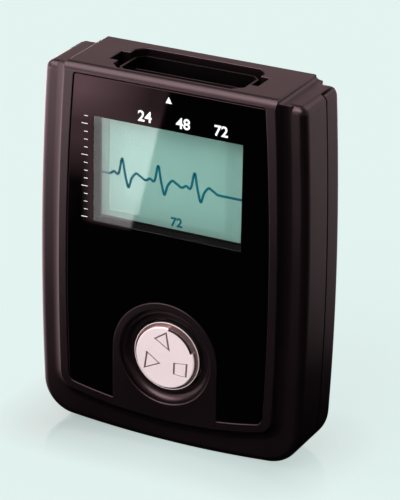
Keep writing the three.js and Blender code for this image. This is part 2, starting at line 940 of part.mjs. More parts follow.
function socketInsulator() {
  const base = post(socketOutline(socketShellWall + fitGap), insulatorFoot, insulatorTop);
  const tongue = box(
    -tongueWidth / 2,
    tongueWidth / 2,
    tongueFront,
    tongueFront + tongueThickness,
    insulatorTop - insulatorBaseHeight / 2,
    tongueTop,
  );
  const half = contactWidth / 2 + fitGap;
  const foot = insulatorFoot - overrun;
  const top = insulatorTop + overrun;
  const slots = contactPlaces.map(
    (x) => box(x - half, x + half, tailFront - fitGap, tongueFront, foot, top),
  );
  return cutBy(joined(base, tongue), ...slots);
}

// A contact runs up from the board, steps back and ends on the tongue.
function socketContact() {
  const foot = boardTop - contactTail;
  const jog = (insulatorFoot + insulatorTop) / 2;
  const run = contactFront - tailFront;
  const points = [
    [tailFront, foot],
    [tailFront + contactThickness, foot],
    [tailFront + contactThickness, jog - contactThickness / 2],
    [contactBack, jog + run - contactThickness / 2],
    [contactBack, tongueTop - contactTipDrop],
    [contactFront, tongueTop - contactTipDrop],
    [contactFront, jog + run],
    [tailFront, jog],
  ].map(([depth, z]) => new THREE.Vector2(depth, z));
  return bar(points, -contactWidth / 2, contactWidth / 2);
}

// Batteries, their contacts, the bay and its door

function battery() {
  const body = cellLength - cellNubLength;
  const profile = [
    [0, 0],
    [cellRadius - cellBevel, 0],
    [cellRadius, cellBevel],
    [cellRadius, body - cellBevel],
    [cellRadius - cellBevel, body],
    [cellNubRadius, body],
    [cellNubRadius, cellLength],
    [0, cellLength],
  ];
  const geometry = new THREE.LatheGeometry(
    profile.map(([radius, along]) => new THREE.Vector2(radius, along - cellLength / 2)),
    roundSegments,
  );
  return solid(geometry.rotateZ(-quarterTurn));
}

// A contact plate for the right end of the bay, with a bump towards the cells.
function contactPlate(foot, top) {
  const outer = bayHalfWidth - contactPlateGap;
  const inner = outer - contactPlateThickness;
  const front = bayFloorDepth + contactPlateEdgeGap;
  const back = doorFront - spigotDepth - contactPlateEdgeGap;
  const tip = inner - contactBumpReach;
  const points = [
    [outer, front],
    [outer, back],
    [inner, back],
    [inner, cellDepth + contactBumpHalfWidth],
    [tip, cellDepth + contactBumpTip],
    [tip, cellDepth - contactBumpTip],
    [inner, cellDepth - contactBumpHalfWidth],
    [inner, front],
  ].map(([x, depth]) => new THREE.Vector2(x, depth));
  return post(points, foot, top);
}

function doorOutline(grow) {
  const halfWidth = doorWidth / 2 + grow;
  const halfHeight = doorHeight / 2 + grow;
  return roundedRectangle(halfWidth, halfHeight, bayHeight, doorCornerRadius + grow);
}

// A box about the middle of the bay.
function bayBox(halfWidth, halfHeight, front, back) {
  return box(-halfWidth, halfWidth, front, back, bayHeight - halfHeight, bayHeight + halfHeight);
}

// A band inside the skin between two insets, for the joint between the shells.
function band(outer, inner, front, back) {
  return cutBy(
    layers(bodyOutline, [[outer, front], [outer, back]]),
    layers(bodyOutline, [[inner, front - overrun], [inner, back + overrun]]),
  );
}

function rearHousing() {
  const start = partingDepth + partingGap;
  const region = box(-bodyWidth, bodyWidth, start, bodyDepth + overrun, -overrun, bodyHeight + overrun);
  const cavity = layers(bodyOutline, [
    [shellWall, start - overrun],
    [shellWall, bodyDepth - backRounding],
    [backRounding, bodyDepth - shellWall],
  ]);
  const ledgeBack = start + ledgeThickness;
  const lipFront = start - lipReach;
  const lipOuter = shellWall + lipGap;
  const lipInner = lipOuter + lipThickness;
  const rims = cutBy(
    joined(
      band(ledgeRoot, lipInner, start, ledgeBack),
      band(lipOuter, lipInner, lipFront, ledgeBack),
    ),
    box(
      -bodyWidth,
      bodyWidth,
      lipFront - overrun,
      ledgeBack + overrun,
      capFoot - partingGap - lipThickness,
      bodyHeight + overrun,
    ),
    ...cylindersAt(bosses, bossRadius + lipGap, lipFront - overrun, start),
  );
  const tray = bayBox(
    bayHalfWidth + bayWall,
    bayHalfHeight + bayWall,
    bayFloorDepth - bayFloorThickness,
    doorSeat,
  );
  const wallMiddle = bodyDepth - shellWall / 2;
  const backing = joined(
    plate(doorOutline(doorPadMargin), doorSeat - doorPadThickness, wallMiddle),
    ...cylindersAt(bosses, columnRadius, start, wallMiddle),
  ).intersect(skin);
  const scoop = cylinder(scoopRadius, bodyDepth - scoopDepth, bodyDepth + overrun);
  return cutBy(
    joined(cutBy(skin.intersect(region), cavity), rims, tray, backing),
    capZone(partingGap),
    bayBox(bayHalfWidth, bayHalfHeight, bayFloorDepth, bodyDepth + overrun),
    plate(doorOutline(doorGap), doorSeat, bodyDepth + overrun),
    at(scoop, 0, bayHeight + doorHeight / 2 + doorGap),
    ...cylindersAt(bosses, screwSinkRadius, screwSeatDepth, bodyDepth + overrun),
    ...cylindersAt(bosses, screwClearHoleRadius, start - overrun, bodyDepth),
  );
}

function batteryDoor() {
  const halfWidth = bayHalfWidth - spigotInset;
  const halfHeight = bayHalfHeight - spigotInset;
  const spigotFront = doorFront - spigotDepth;
  const spigot = cutBy(
    bayBox(halfWidth, halfHeight, spigotFront, doorFront + doorThickness / 2),
    bayBox(halfWidth - spigotWall, halfHeight - spigotWall, spigotFront - overrun, doorFront),
  );
  const grooves = Array.from({ length: gripCount }, (_, i) => {
    const z = bayHeight + doorHeight / 2 - gripPitch * (i + 1);
    const front = bodyDepth - gripDepth;
    const half = gripGroove / 2;
    return box(-gripWidth / 2, gripWidth / 2, front, bodyDepth + overrun, z - half, z + half);
  });
  return cutBy(joined(plate(doorOutline(0), doorFront, bodyDepth), spigot), ...grooves);
}

// The assembly

const finishes = {
  casing: { color: 0x1b1718, roughness: 0.42, metalness: 0 },
  gloss: { color: 0x060606, roughness: 0.06, metalness: 0 },
  adhesive: { color: 0x0d0d0d, roughness: 0.9, metalness: 0 },
  foam: { color: 0x2a2a2c, roughness: 1, metalness: 0 },
  blackPlastic: { color: 0x121212, roughness: 0.6, metalness: 0 },
  glass: { color: 0xa9cdbd, roughness: 0.15, metalness: 0 },
  whitePlastic: { color: 0xe9ece8, roughness: 0.6, metalness: 0 },
  film: { color: 0xb8722c, roughness: 0.4, metalness: 0 },
  satinMetal: { color: 0xd9cdcb, roughness: 0.3, metalness: 1 },
  nylon: { color: 0xd8d4c8, roughness: 0.6, metalness: 0 },
  board: { color: 0x14512e, roughness: 0.45, metalness: 0 },
  tinned: { color: 0xb9bcbf, roughness: 0.3, metalness: 1 },
  chip: { color: 0x19191b, roughness: 0.55, metalness: 0 },
  darkMetal: { color: 0x2c2a2b, roughness: 0.4, metalness: 1 },
  gold: { color: 0xd1a545, roughness: 0.25, metalness: 1 },
  steel: { color: 0x9a9da1, roughness: 0.3, metalness: 1 },
  cellSleeve: { color: 0x3c4a57, roughness: 0.4, metalness: 0 },
};

const holter = new THREE.Group();
holter.position.y = -bodyDepth / 2;

function add(name, shape, finish, place = [0, 0, 0]) {
  const mesh = shape.getMesh();
  const geometry = new THREE.BufferGeometry();
  geometry.setAttribute('position', new THREE.BufferAttribute(mesh.vertProperties, 3));
  geometry.setIndex(new THREE.BufferAttribute(mesh.triVerts, 1));
  geometry.computeVertexNormals();
  const piece = new THREE.Mesh(geometry, new THREE.MeshStandardMaterial(finishes[finish]));
  piece.name = name;
  piece.position.fromArray(place);
  holter.add(piece);
  return piece;
}

// Something flat on the back of the board, about its middle.
function addChip(name, finish, x, z, width, height, thickness) {
  const chip = box(-width / 2, width / 2, 0, thickness, -height / 2, height / 2);
  add(name, chip, finish, [x, onBoard, z]);
}

add('front_housing', frontHousing(), 'casing');
add('rear_housing', rearHousing(), 'casing');
add('front_panel', frontPanel(), 'gloss');
add('panel_adhesive', panelAdhesive(), 'adhesive');

const glassHalfWidth = glassWidth / 2;
const glassHalfHeight = glassHeight / 2;
const glass = framedBox(glassHalfWidth, glassHalfHeight, glassFront, glassFront + glassThickness);
const lightBack = backlightFront + backlightThickness;
const backlight = framedBox(glassHalfWidth, glassHalfHeight, backlightFront, lightBack);
add('display_gasket', displayGasket(), 'foam');
add('display_frame', displayFrame(), 'blackPlastic');
add('display_glass', glass, 'glass');
add('display_backlight', backlight, 'whitePlastic');
add('display_ribbon', displayRibbon(), 'film');

const buttonPlace = [0, 0, buttonHeight];
const rocker = pivotDisc(capUnderside + pivotBossGap, rockerRadius, rockerFront, rockerBack);
const stem = pivotDisc(rockerBack + pivotBossGap, stemRadius, stemFront, stemBack);
add('button_cap', buttonCap(), 'satinMetal', buttonPlace);
add('button_rocker', rocker, 'nylon', buttonPlace);
add('button_stem', stem, 'nylon', buttonPlace);
const oneSwitch = pressSwitch();
switchAngles.map(THREE.MathUtils.degToRad).forEach((turn, i) => {
  const x = switchCircleRadius * Math.cos(turn);
  const z = buttonHeight + switchCircleRadius * Math.sin(turn);
  add(`press_switch_${i + 1}`, oneSwitch, 'blackPlastic', [x, 0, z]);
});

add('main_board', mainBoard(), 'board');
const boardScrew = screw(
  boardScrewHeadRadius,
  boardScrewHeadHeight,
  boardScrewShaftRadius,
  boardScrewLength,
  1,
);
boardPosts.forEach(({ x, z }, i) => {
  add(`board_screw_${i + 1}`, boardScrew, 'steel', [x, onBoard, z]);
});
const shieldZ = chipPlace(shieldRiseShare);
const processorZ = chipPlace(processorRiseShare);
const memoryZ = chipPlace(memoryRiseShare);
addChip('amplifier_shield', 'tinned', -shieldX, shieldZ, shieldWidth, shieldHeight, shieldThickness);
addChip('processor_chip', 'chip', chipX, processorZ, processorWidth, processorWidth, processorThickness);
addChip('memory_chip', 'chip', chipX, memoryZ, memoryWidth, memoryHeight, memoryThickness);
const clockCell = cylinder(clockCellRadius, 0, clockCellThickness);
add('clock_cell', clockCell, 'steel', [clockCellX, onBoard, chipPlace(clockCellRiseShare)]);
const soundHole = cylinder(buzzerHoleRadius, buzzerHeight / 2, buzzerHeight + overrun, screwSegments);
const buzzer = cylinder(buzzerRadius, 0, buzzerHeight).subtract(soundHole);
add('buzzer', buzzer, 'blackPlastic', [-buzzerX, onBoard, chipPlace(buzzerRiseShare)]);

add('socket_shell', socketShell(), 'darkMetal');
add('socket_insulator', socketInsulator(), 'blackPlastic');
const contact = socketContact();
contactPlaces.forEach((x, i) => add(`socket_contact_${i + 1}`, contact, 'gold', [x, 0, 0]));

const cell = battery();
add('battery_1', cell, 'cellSleeve', [0, cellDepth, bayHeight + cellPitch / 2]);
add('battery_2', cell, 'cellSleeve', [0, cellDepth, bayHeight - cellPitch / 2]).rotation.y = halfTurn;
const plateFoot = bayHeight - bayHalfHeight + contactPlateGap;
const plateTop = bayHeight + bayHalfHeight - contactPlateGap;
const joiningPlate = contactPlate(plateFoot, plateTop).mirror([1, 0, 0]);
add('battery_contact_lower', contactPlate(plateFoot, bayHeight - contactPlateGap), 'tinned');
add('battery_contact_upper', contactPlate(bayHeight + contactPlateGap, plateTop), 'tinned');
add('battery_contact_joining', joiningPlate, 'tinned');

add('battery_door', batteryDoor(), 'casing');
const housingScrew = screw(screwHeadRadius, screwHeadHeight, screwShaftRadius, screwLength, 2);
bosses.forEach(({ x, z }, i) => {
  add(`housing_screw_${i + 1}`, housingScrew, 'steel', [x, screwSeatDepth + fitGap, z]);
});

// The body stands on the flat middle of its bowed foot.
holter.position.z = -new THREE.Box3().setFromObject(holter).min.z;

export default holter;
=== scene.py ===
"""Looks of a pocket heart recorder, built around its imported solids.

Shapes are written in millimetres in the solids' own way: x to the right, depth counted back
from the front deck, z up from the foot. They are moved into the frame, in metres, at the end.
"""

import math

import bmesh
import bpy
import numpy as np
from mathutils import Matrix, Vector


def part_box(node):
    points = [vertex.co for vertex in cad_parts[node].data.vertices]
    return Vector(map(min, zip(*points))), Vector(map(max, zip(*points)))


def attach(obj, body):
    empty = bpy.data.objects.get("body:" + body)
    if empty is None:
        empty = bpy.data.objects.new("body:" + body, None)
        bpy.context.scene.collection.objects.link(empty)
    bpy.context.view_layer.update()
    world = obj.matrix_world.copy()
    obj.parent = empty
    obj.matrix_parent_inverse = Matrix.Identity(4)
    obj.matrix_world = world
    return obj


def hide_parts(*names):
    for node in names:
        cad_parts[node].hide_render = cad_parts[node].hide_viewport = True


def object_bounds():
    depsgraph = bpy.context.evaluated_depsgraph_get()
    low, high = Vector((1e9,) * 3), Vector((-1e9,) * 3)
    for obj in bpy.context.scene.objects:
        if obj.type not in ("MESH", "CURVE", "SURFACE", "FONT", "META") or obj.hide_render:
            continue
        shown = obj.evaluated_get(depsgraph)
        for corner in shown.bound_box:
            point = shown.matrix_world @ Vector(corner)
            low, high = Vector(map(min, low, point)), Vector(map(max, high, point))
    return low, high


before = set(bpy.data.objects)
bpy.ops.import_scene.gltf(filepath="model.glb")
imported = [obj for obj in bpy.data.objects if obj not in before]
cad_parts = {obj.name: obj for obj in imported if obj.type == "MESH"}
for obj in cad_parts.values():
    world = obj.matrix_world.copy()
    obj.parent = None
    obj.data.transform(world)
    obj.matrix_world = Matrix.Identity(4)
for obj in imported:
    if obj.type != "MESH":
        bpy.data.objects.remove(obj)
cad_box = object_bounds()

MM = 0.001
QUARTER = math.pi / 2

# Body
body_width = 72.4
body_height = 95.5
body_depth = 21.8
widest_height = 43.5
side_bow = 750
foot_bow = 300
foot_corner = 9
shoulder_top = 94.1
shoulder_corner = 2.2
shoulder_depth = 2.2
front_rounding = 1.9
back_rounding = 3
shell_wall = 1.8
parting_depth = 13.3
parting_gap = 0.36
parting_edge = 0.2
tongue_reach = 1.2
tongue_root = 0.8
tongue_gap = 0.06
tongue_wall = 0.8
slit_width = 0.7
slit_foot = 92.6
slit_back = 20

# Deck, its step and the socket block
deck_width = 59.5
deck_foot = 7.1
deck_foot_bow = 120
deck_corner = 4.5
deck_top_corner = 1
deck_edge = 0.45
step_width = 2.8
deck_floor = 3.2
block_width = 56.1
block_flare = 1.7
block_edge = 0.6
block_front_rounding = 2
block_back_rounding = 0.5
cap_width = 66
cap_foot = 87
cap_wall = 1.6

# Panel, window and display
panel_width = 54.34
panel_top = 93.1
panel_foot = 9.65
panel_foot_bow = 120
panel_bow = 600
panel_corner = 2
panel_top_corner = 0.5
panel_thickness = 1.4
panel_gap = 0.15
panel_edge = 0.22
ink_depth = 0.03
ink_front = 0.005
recess_depth = 1.7
arch_radius = 14.44
window_middle = 69.74
window_half_width = 20.3
window_half_height = 14
window_pocket = 0.2
liner_gap = 0.05
liner_front = 0.22
liner_back = 3.2
pane_thickness = 0.1
opening_half_width = 19.79
opening_foot = 56.28
opening_top = 83.2
display_half_width = 19.75
glass_front = 4.1

# Button and its dish
button_height = 24.17
button_segments = 160
face_radius = 7.95
face_depth = 0.16
face_edge = 0.28
rim_radius = 8.84
rim_depth = 1.4
bead_depth = 1.15
bead_width = 0.18
step_wall_width = 0.18
step_drop = 0.32
slope_top = 0.7
slope_foot = 1.28
slope_ridges = 6
ridge_share = 0.7
skirt_front = 1.55
skirt_drop = 0.05
skirt_depth = 3.2
skirt_radius = 8.68
skirt_shade_coat = 0.04
skirt_wall = 0.74
cap_underside = 2.1
notch_start = 18.5
notch_end = 84
notch_steps = 33
notch_radius = 7.25
notch_line = 0.28
notch_depth = 1.0
lining_drop = 0.1
button_fit = 0.02
hole_radius = 9.15
hole_edge = 0.2
guide_radius = 10.4
guide_depth = 5.9
dish_radius = 12.2
dish_floor_radius = 10.2
dish_depth = 2.3
dish_lip = 0.5

# Lead slot
slot_middle = 10.6
slot_width = 34.6
slot_span = 15.8
slot_corner = 2.3
ear_width = 39.4
ear_span = 6.4
slot_lip = 0.3

# Battery bay, door and screws
bay_middle = 25.1
bay_half_width = 24.8
bay_half_height = 11.15
bay_wall = 0.9
bay_floor = 9.6
bay_floor_thickness = 0.8
door_front = 20.5
door_seat = 20.4
door_half_width = 27.2
door_half_height = 13.55
door_corner = 2
door_gap = 0.3
door_edge = 0.25
door_recess_edge = 0.2
door_pad_margin = 1.6
door_pad_thickness = 1.2
spigot_inset = 0.4
spigot_depth = 0.6
spigot_wall = 1
spigot_root = 0.5
grip_count = 3
grip_pitch = 2.4
grip_width = 14
grip_groove = 0.9
grip_depth = 0.4
grip_flare = 0.1
scoop_radius = 6
scoop_depth = 0.9
scoop_edge = 0.35
scoop_wall = 0.5
boss_places = [(22.2, 8.2), (-22.2, 8.2), (30, 78), (-30, 78)]
boss_radius = 2.6
boss_hole = 1.2
boss_hole_depth = 8.4
boss_end = 13
column_radius = 3.4
screw_seat = 18.9
screw_sink = 2.6
screw_clear_hole = 1.3
post_places = [(27.5, 49), (-27.5, 49), (16, 10.5), (-16, 10.5)]
post_radius = 2
post_hole = 0.9
post_end = 7.4

overrun = 1
smallest = 0.05
sharp_angle = 32

body_shape = dict(
    width=body_width, top=shoulder_top, foot=0, bow=side_bow, foot_bow=foot_bow,
    corner=foot_corner, top_corner=shoulder_corner,
)
deck_shape = dict(
    width=deck_width, top=body_height + deck_top_corner, foot=deck_foot, bow=side_bow,
    foot_bow=deck_foot_bow, corner=deck_corner, top_corner=deck_top_corner,
)
panel_shape = dict(
    width=panel_width, top=panel_top, foot=panel_foot, bow=panel_bow,
    foot_bow=panel_foot_bow, corner=panel_corner, top_corner=panel_top_corner,
)


# ---- outlines ----

def arc(x, z, radius, start, end, steps):
    """Points of an arc, without its last one."""
    turn = np.linspace(start, end, steps, endpoint=False)
    return np.column_stack([x + radius * np.cos(turn), z + radius * np.sin(turn)])


def drawn_in(shape, inset):
    """The same bowed shape, drawn in all round."""
    return dict(
        width=shape["width"] - 2 * inset,
        top=shape["top"] - inset,
        foot=shape["foot"] + inset,
        bow=shape["bow"] - inset,
        foot_bow=shape["foot_bow"] - inset,
        corner=max(shape["corner"] - inset, smallest),
        top_corner=max(shape["top_corner"] - inset, smallest),
    )


def lower_crossing(first, first_radius, second, second_radius):
    """The lower meeting point of two circles."""
    line = second - first
    distance = line.length
    along = (first_radius**2 - second_radius**2 + distance**2) / (2 * distance)
    across = math.sqrt(first_radius**2 - along**2)
    line.normalize()
    foot = first + along * line
    normal = Vector((line.y, -line.x))
    return min(foot + across * normal, foot - across * normal, key=lambda p: p.y)


def outline(shape, foot_steps=36, corner_steps=14, side_steps=28, top_steps=8):
    """Points round a bowed shape, seen from the front, counterclockwise."""
    bow, foot_radius = shape["bow"], shape["foot_bow"]
    corner, top_corner = shape["corner"], shape["top_corner"]
    side = Vector((shape["width"] / 2 - bow, widest_height))
    foot = Vector((0, shape["foot"] + foot_radius))
    low = lower_crossing(side, bow - corner, foot, foot_radius - corner)
    high_z = shape["top"] - top_corner
    high_x = side.x + math.sqrt((bow - top_corner) ** 2 - (high_z - side.y) ** 2)
    foot_turn = math.atan2(low.y - foot.y, low.x - foot.x)
    low_turn = math.atan2(low.y - side.y, low.x - side.x)
    high_turn = math.atan2(high_z - side.y, high_x - side.x)
    half = math.pi
    return np.vstack([
        arc(0, foot.y, foot_radius, -half - foot_turn, foot_turn, foot_steps),
        arc(low.x, low.y, corner, foot_turn, low_turn, corner_steps),
        arc(side.x, side.y, bow, low_turn, high_turn, side_steps),
        arc(high_x, high_z, top_corner, high_turn, QUARTER, top_steps),
        [[high_x, shape["top"]]],
        arc(-high_x, high_z, top_corner, QUARTER, half - high_turn, top_steps),
        arc(-side.x, side.y, bow, half - high_turn, half - low_turn, side_steps),
        arc(-low.x, low.y, corner, half - low_turn, half - foot_turn, corner_steps),
    ])


def grown(points, amount):
    """A closed polygon, counterclockwise, moved outwards along its mitres."""
    points = np.asarray(points, float)
    before = points - np.roll(points, 1, axis=0)
    after = np.roll(points, -1, axis=0) - points
    before /= np.linalg.norm(before, axis=1, keepdims=True)
    after /= np.linalg.norm(after, axis=1, keepdims=True)
    out_before = np.column_stack([before[:, 1], -before[:, 0]])
    out_after = np.column_stack([after[:, 1], -after[:, 0]])
    mitre = out_before + out_after
    mitre /= 1 + (out_before * out_after).sum(1, keepdims=True)
    return points + amount * mitre


def rounded_rectangle(half_width, half_height, middle, radius, steps=8):
    """Points round a rectangle with round corners, counterclockwise."""
    reach, rise = half_width - radius, half_height - radius
    corners = [(reach, -rise, -1), (reach, rise, 0), (-reach, rise, 1), (-reach, -rise, 2)]
    parts = []
    for x, z, quarter in corners:
        turn = np.linspace(quarter * QUARTER, (quarter + 1) * QUARTER, steps + 1)
        parts.append(np.column_stack([
            x + radius * np.cos(turn), middle + z + radius * np.sin(turn),
        ]))
    return np.vstack(parts)


def quarter_steps(steps):
    return np.linspace(0, QUARTER, steps + 1)


def lip(radius, steps=5):
    """Pairs down a rounded edge: its reach falls from the radius to 0 while its depth grows."""
    return [(radius * (1 - math.sin(t)), radius * (1 - math.cos(t))) for t in quarter_steps(steps)]


# ---- solids ----

def added(name, data):
    """A new object in the scene."""
    made = bpy.data.objects.new(name, data)
    bpy.context.scene.collection.objects.link(made)
    return made


def evaluated(made):
    """The mesh that an object's curve or its modifiers make."""
    graph = bpy.context.evaluated_depsgraph_get()
    return bpy.data.meshes.new_from_object(made.evaluated_get(graph))


def solid(vertices, faces):
    """A closed mesh object in millimetres with its faces turned outwards."""
    mesh = bpy.data.meshes.new("solid")
    mesh.from_pydata([tuple(map(float, v)) for v in vertices], [], [tuple(f) for f in faces])
    work = bmesh.new()
    work.from_mesh(mesh)
    bmesh.ops.remove_doubles(work, verts=work.verts, dist=1e-5)
    bmesh.ops.recalc_face_normals(work, faces=work.faces)
    work.to_mesh(mesh)
    work.free()
    return added("solid", mesh)


def stacked(rings):
    """Closes a stack of equally long rings of 3-D points."""
    count = len(rings[0])
    faces = []
    for k in range(len(rings) - 1):
        near, far = k * count, (k + 1) * count
        faces += [(near + i, near + (i + 1) % count, far + (i + 1) % count, far + i)
                  for i in range(count)]
    faces.append(range(count))
    last = (len(rings) - 1) * count
    faces.append(range(last, last + count))
    return solid(np.vstack(rings), faces)


def loft(pairs):
    """Outlines in x and z, each at its depth."""
    return stacked([
        np.column_stack([points[:, 0], np.full(len(points), depth), points[:, 1]])
        for points, depth in pairs
    ])


def layers(shape, rings):
    """A stack of one bowed shape, given as pairs of inset and depth."""
    return loft([(outline(drawn_in(shape, inset)), depth) for inset, depth in rings])


def plate(points, front, back):
    points = np.asarray(points, float)
    return loft([(points, front), (points, back)])


def box(left, right, front, back, foot, top):
    return plate([(left, foot), (right, foot), (right, top), (left, top)], front, back)


def box_about(middle, half_width, half_height, front, back):
    """A box about a height on the middle line."""
    return box(-half_width, half_width, front, back, middle - half_height, middle + half_height)


def post(pairs):
    """Outlines in x and depth, each at its height."""
    return stacked([
        np.column_stack([points, np.full(len(points), height)]) for points, height in pairs
    ])


def bar(points, left, right):
    """An outline in depth and z, carried from left to right."""
    points = np.asarray(points, float)
    return stacked([np.column_stack([np.full(len(points), x), points]) for x in (left, right)])


def lathe(profile, x=0, z=0, segments=128, closed=False):
    """A round solid about a line along the depth, from pairs of radius and depth."""
    turn = np.linspace(0, 2 * math.pi, segments, endpoint=False)
    vertices, loops, faces = [], [], []
    for radius, depth in profile:
        start = len(vertices)
        if radius < smallest / 10:
            vertices.append((x, depth, z))
        else:
            vertices += [(x + radius * math.cos(t), depth, z + radius * math.sin(t)) for t in turn]
        loops.append(list(range(start, len(vertices))))
    pairs = list(zip(loops, loops[1:]))
    if closed:
        pairs.append((loops[-1], loops[0]))
    for one, two in pairs:
        for i in range(segments):
            j = (i + 1) % segments
            corners = [one[i % len(one)], one[j % len(one)], two[j % len(two)], two[i % len(two)]]
            corners = list(dict.fromkeys(corners))
            if len(corners) > 2:
                faces.append(corners)
    return solid(vertices, faces)


def cylinders(places, radius, front, back):
    profile = [(0, front), (radius, front), (radius, back), (0, back)]
    return [lathe(profile, x, z, segments=48) for x, z in places]


def ring(inner, outer, front, back, segments=128):
    """A ring about the button's middle."""
    profile = [(inner, front), (outer, front), (outer, back), (inner, back)]
    return lathe(profile, z=button_height, segments=segments, closed=True)


def combined(operation, base, *tools):
    """One solid joined with others, cut by them or kept where they share space."""
    for tool in tools:
        step = base.modifiers.new("step", "BOOLEAN")
        step.operation = operation
        step.solver = "MANIFOLD"
        step.object = tool
    bpy.context.view_layer.update()
    mesh = evaluated(base)
    base.modifiers.clear()
    base.data = mesh
    for tool in tools:
        bpy.data.objects.remove(tool)
    return base


def cut(base, *tools):
    return combined("DIFFERENCE", base, *tools)


def joined(base, *tools):
    return combined("UNION", base, *tools)


def shared(base, *tools):
    return combined("INTERSECT", base, *tools)


# ---- placing in the frame ----

front_low, front_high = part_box("front_housing")
ground_sink = body_height * MM - front_high.z
box_low = np.array(cad_box[0], float)
box_high = np.array(cad_box[1], float)


def into_frame(mesh):
    """Millimetres in the solids' way to metres in the frame, kept inside the solids' box."""
    places = np.zeros(len(mesh.vertices) * 3)
    mesh.vertices.foreach_get("co", places)
    places = places.reshape(-1, 3) * MM
    places += (0, front_low.y, -ground_sink)
    places = np.clip(places, box_low, box_high)
    mesh.vertices.foreach_set("co", places.ravel())
    mesh.update()


def dress(mesh, material):
    """Gives a mesh its finish, and shades it smooth between its sharp edges."""
    mesh.materials.clear()
    mesh.materials.append(material)
    mesh.polygons.foreach_set("use_smooth", [True] * len(mesh.polygons))
    mesh.set_sharp_from_angle(angle=math.radians(sharp_angle))


def place(made, name, material, body, nodes=()):
    """Names a finished solid, smooths it and lets it ride on its body."""
    made.name = name
    made.data.name = name
    into_frame(made.data)
    dress(made.data, material)
    weighted = made.modifiers.new("weighted", "WEIGHTED_NORMAL")
    weighted.mode = "FACE_AREA"
    weighted.keep_sharp = True
    weighted.weight = 50
    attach(made, body)
    if nodes:
        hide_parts(*nodes)


# ---- materials ----

def new_material(name):
    material = bpy.data.materials.new(name)
    material.use_nodes = True
    material.node_tree.nodes.clear()
    return material, material.node_tree


def node(tree, kind, inputs=None, **settings):
    """A shader node with its settings, its plain inputs and its linked ones."""
    made = tree.nodes.new("ShaderNode" + kind)
    for key, value in settings.items():
        setattr(made, key, value)
    for key, value in (inputs or {}).items():
        socket = made.inputs[key]
        if isinstance(value, bpy.types.NodeSocket):
            tree.links.new(value, socket)
        else:
            socket.default_value = value
    return made


def finished(material, shader):
    """The material, with this shader on its surface."""
    node(material.node_tree, "OutputMaterial", {"Surface": shader.outputs[0]})
    return material


def place_in(tree, coordinates="Object"):
    """X, Y and Z of the piece's own coordinates, in metres."""
    found = node(tree, "TexCoord").outputs[coordinates]
    return node(tree, "SeparateXYZ", {"Vector": found}).outputs


def spots(tree, scale, detail=2.0):
    """Noise over the piece's own coordinates, at a scale in features per metre."""
    return node(tree, "TexNoise", {
        "Vector": node(tree, "TexCoord").outputs["Object"], "Scale": scale, "Detail": detail,
    }).outputs["Fac"]


def maths(tree, operation, first, second=0.0, **settings):
    return node(tree, "Math", {0: first, 1: second}, operation=operation, **settings).outputs[0]


def between(tree, value, low, high, from_low=0.0, from_high=1.0):
    """A value that goes from low to high while the given one crosses its own range."""
    return node(tree, "MapRange", {
        "Value": value, "From Min": from_low, "From Max": from_high,
        "To Min": low, "To Max": high,
    }).outputs["Result"]


def blended(tree, share, first, second, **settings):
    """Two colours, mixed by the share of the second."""
    inputs = {0: share, 6: first, 7: second}
    return node(tree, "Mix", inputs, data_type="RGBA", **settings).outputs[2]


def tinted(tree, share, first, second):
    return blended(tree, share, (*first, 1), (*second, 1))


def mixed(tree, share, first, second):
    """Two shaders, mixed by the share of the second."""
    return node(tree, "MixShader", {0: share, 1: first.outputs[0], 2: second.outputs[0]})


cloud_scale = 60.0
cloud_range = (0.3, 0.7)
grain_height = 0.00005


def surface(name, first, second, rough, bump=0.0, grain=3000.0, round_edges=0.0, **sockets):
    """A solid finish: colour and gloss drift in soft clouds, over a fine moulded grain."""
    material, tree = new_material(name)
    drift = spots(tree, cloud_scale, 3.0)
    inputs = {key.replace("_", " "): value for key, value in sockets.items()}
    inputs["Base Color"] = tinted(tree, drift, first, second)
    inputs["Roughness"] = between(tree, drift, *rough, *cloud_range)
    under = {}
    if round_edges:
        bevel = node(tree, "Bevel", {"Radius": round_edges}, samples=6)
        under["Normal"] = bevel.outputs["Normal"]
    if bump:
        raised = {"Height": spots(tree, grain), "Strength": bump, "Distance": grain_height}
        under["Normal"] = node(tree, "Bump", {**raised, **under}).outputs["Normal"]
    return finished(material, node(tree, "BsdfPrincipled", {**inputs, **under}))


casing = surface(
    "casing_plastic", (0.0012, 0.0006, 0.0008), (0.0019, 0.0010, 0.0013), (0.32, 0.37),
    bump=0.12, grain=5200, round_edges=0.00012, IOR=1.5, Specular_Tint=(1.0, 0.68, 0.75, 1),
)
gloss = surface(
    "panel_gloss", (0.0004, 0.0003, 0.0004), (0.0006, 0.0005, 0.0006), (0.02, 0.03),
    round_edges=0.00005, IOR=1.32, Specular_Tint=(1.0, 0.52, 0.62, 1),
)
button_metal = surface(
    "button_satin", (0.79, 0.61, 0.63), (0.83, 0.65, 0.67), (0.28, 0.36),
    bump=0.04, grain=9000, round_edges=0.00006, Metallic=0.3,
)
# Dark lacquer in the button's marks; where it runs in upright strokes it is also painted shade.
mark_fill_and_shade = surface("mark_lacquer_painted_shade", (0.10, 0.055, 0.055), (0.14, 0.08, 0.08), (0.4, 0.5))
# Polished metal on the step wall below the disc's face, darker than the disc: its tone is partly
# painted shade.
step_metal_and_shade = surface("step_nickel_painted_shade", (0.48, 0.40, 0.39), (0.54, 0.46, 0.44), (0.10, 0.16),
                     Metallic=1.0)
